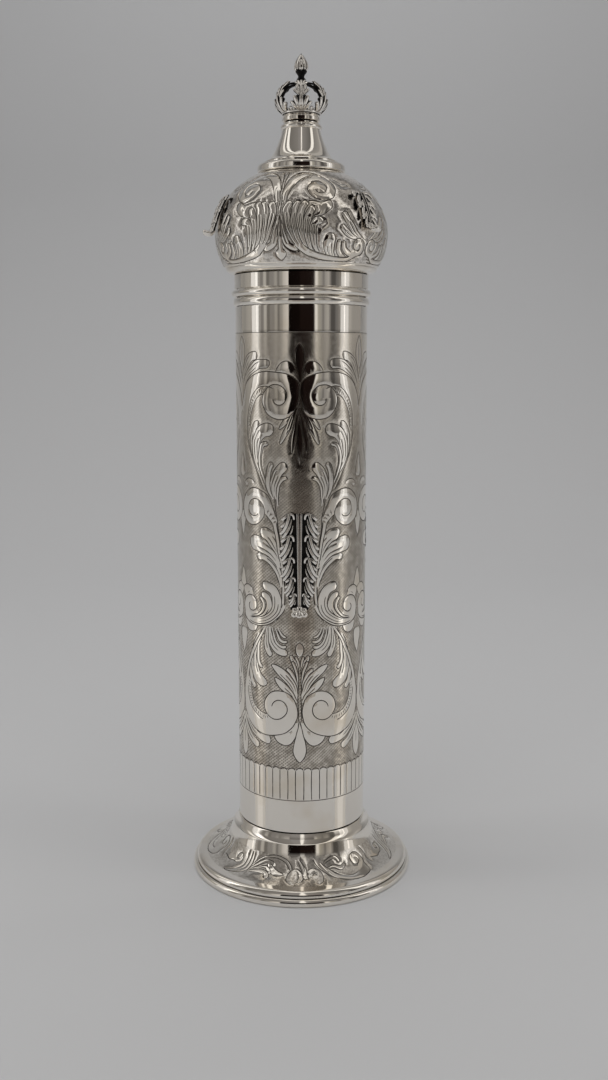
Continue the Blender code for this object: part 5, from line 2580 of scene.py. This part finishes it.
        # one ramp can't hold all the stops, so each half of the turn has its own
        sides = []
        for part in (stops[:half], stops[half:]):
            sides.append(graph.add("ValToRGB", share))
            elements = sides[-1].node.color_ramp.elements
            for number, (place, tone) in enumerate(part):
                stop = elements[number] if number < 2 else elements.new(place)
                stop.position, stop.color = place, colour(tone)
        middle = 0.5 * (stops[half - 1][0] + stops[half][0])
        side = graph.add("Math", share, middle, operation="GREATER_THAN")
        return graph.add("Mix", side, *sides, data_type="RGBA")

    def tent(self) -> None:
        """Walls of different tones round the object, upper walls that lean in, and a bright ceiling."""
        graph = Graph("light_tent", world=True)
        x, y, z = graph.add("SeparateXYZ", graph.add("TexCoord")).node.outputs
        turn = graph.add("Math", x, graph.add("Math", y, -1.0, operation="MULTIPLY"), operation="ARCTAN2")
        share = graph.add("MapRange", turn, -math.pi, math.pi, 0, 1)
        # the walls fall off towards the floor, so the middle of a tall piece mirrors them a little darker
        fall = graph.add("MapRange", z, math.sin(math.radians(-7)), math.sin(math.radians(1)), 0.66, 1.08)
        tones = graph.add("VectorMath", self.cloth(graph, share, self.walls), fall, operation="SCALE")
        upper = self.cloth(graph, share, self.upper_walls)
        for above, low, high in ((upper, 18, 32), (colour(self.ceiling), 74, 82)):
            rise = graph.add("MapRange", z, math.sin(math.radians(low)), math.sin(math.radians(high)), 0, 1)
            tones = graph.add("Mix", rise, tones, above, data_type="RGBA")
        # past the edge of the paper the eye meets one plain tone, and only the silver mirrors the tent
        seen = graph.add("LightPath")
        graph.feed("Color", graph.add("Mix", seen, tones, colour(self.beyond), data_type="RGBA"))
        bpy.context.scene.world = graph.material


@dataclass(frozen=True)
class Viewpoint:
    """Where the camera stands and how it looks: lengths in millimetres, the tilt in degrees."""

    distance: float = 560.9
    height: float = 259.4
    tilt: float = 9.181
    aside: float = 1.3
    lens: float = 37.77

    def build(self) -> None:
        """Make the camera and look through it."""
        data = bpy.data.cameras.new("camera")
        data.lens = self.lens
        data.sensor_width = 36.0
        data.clip_start = 0.01
        camera = put_in_scene("camera", data)
        camera.location = (self.aside * MM, -self.distance * MM, self.height * MM)
        camera.rotation_euler = (math.radians(90 - self.tilt), 0, 0)
        bpy.context.scene.camera = camera


def main() -> None:
    """Build every piece, the studio and the camera."""
    logging.basicConfig(level=logging.INFO, format="%(message)s")
    bpy.context.scene.view_settings.view_transform = "Standard"
    finishes = Finishes()
    Foot(finishes).build()
    Case(finishes).build()
    lid = Lid(finishes)
    lid.build()
    CaseLeaves(finishes.cast).build()
    LidLeaves(finishes.cast, lid).build()
    Crown(finishes.cast).build()
    Studio().build()
    Viewpoint().build()


if __name__ == "__main__":
    main()
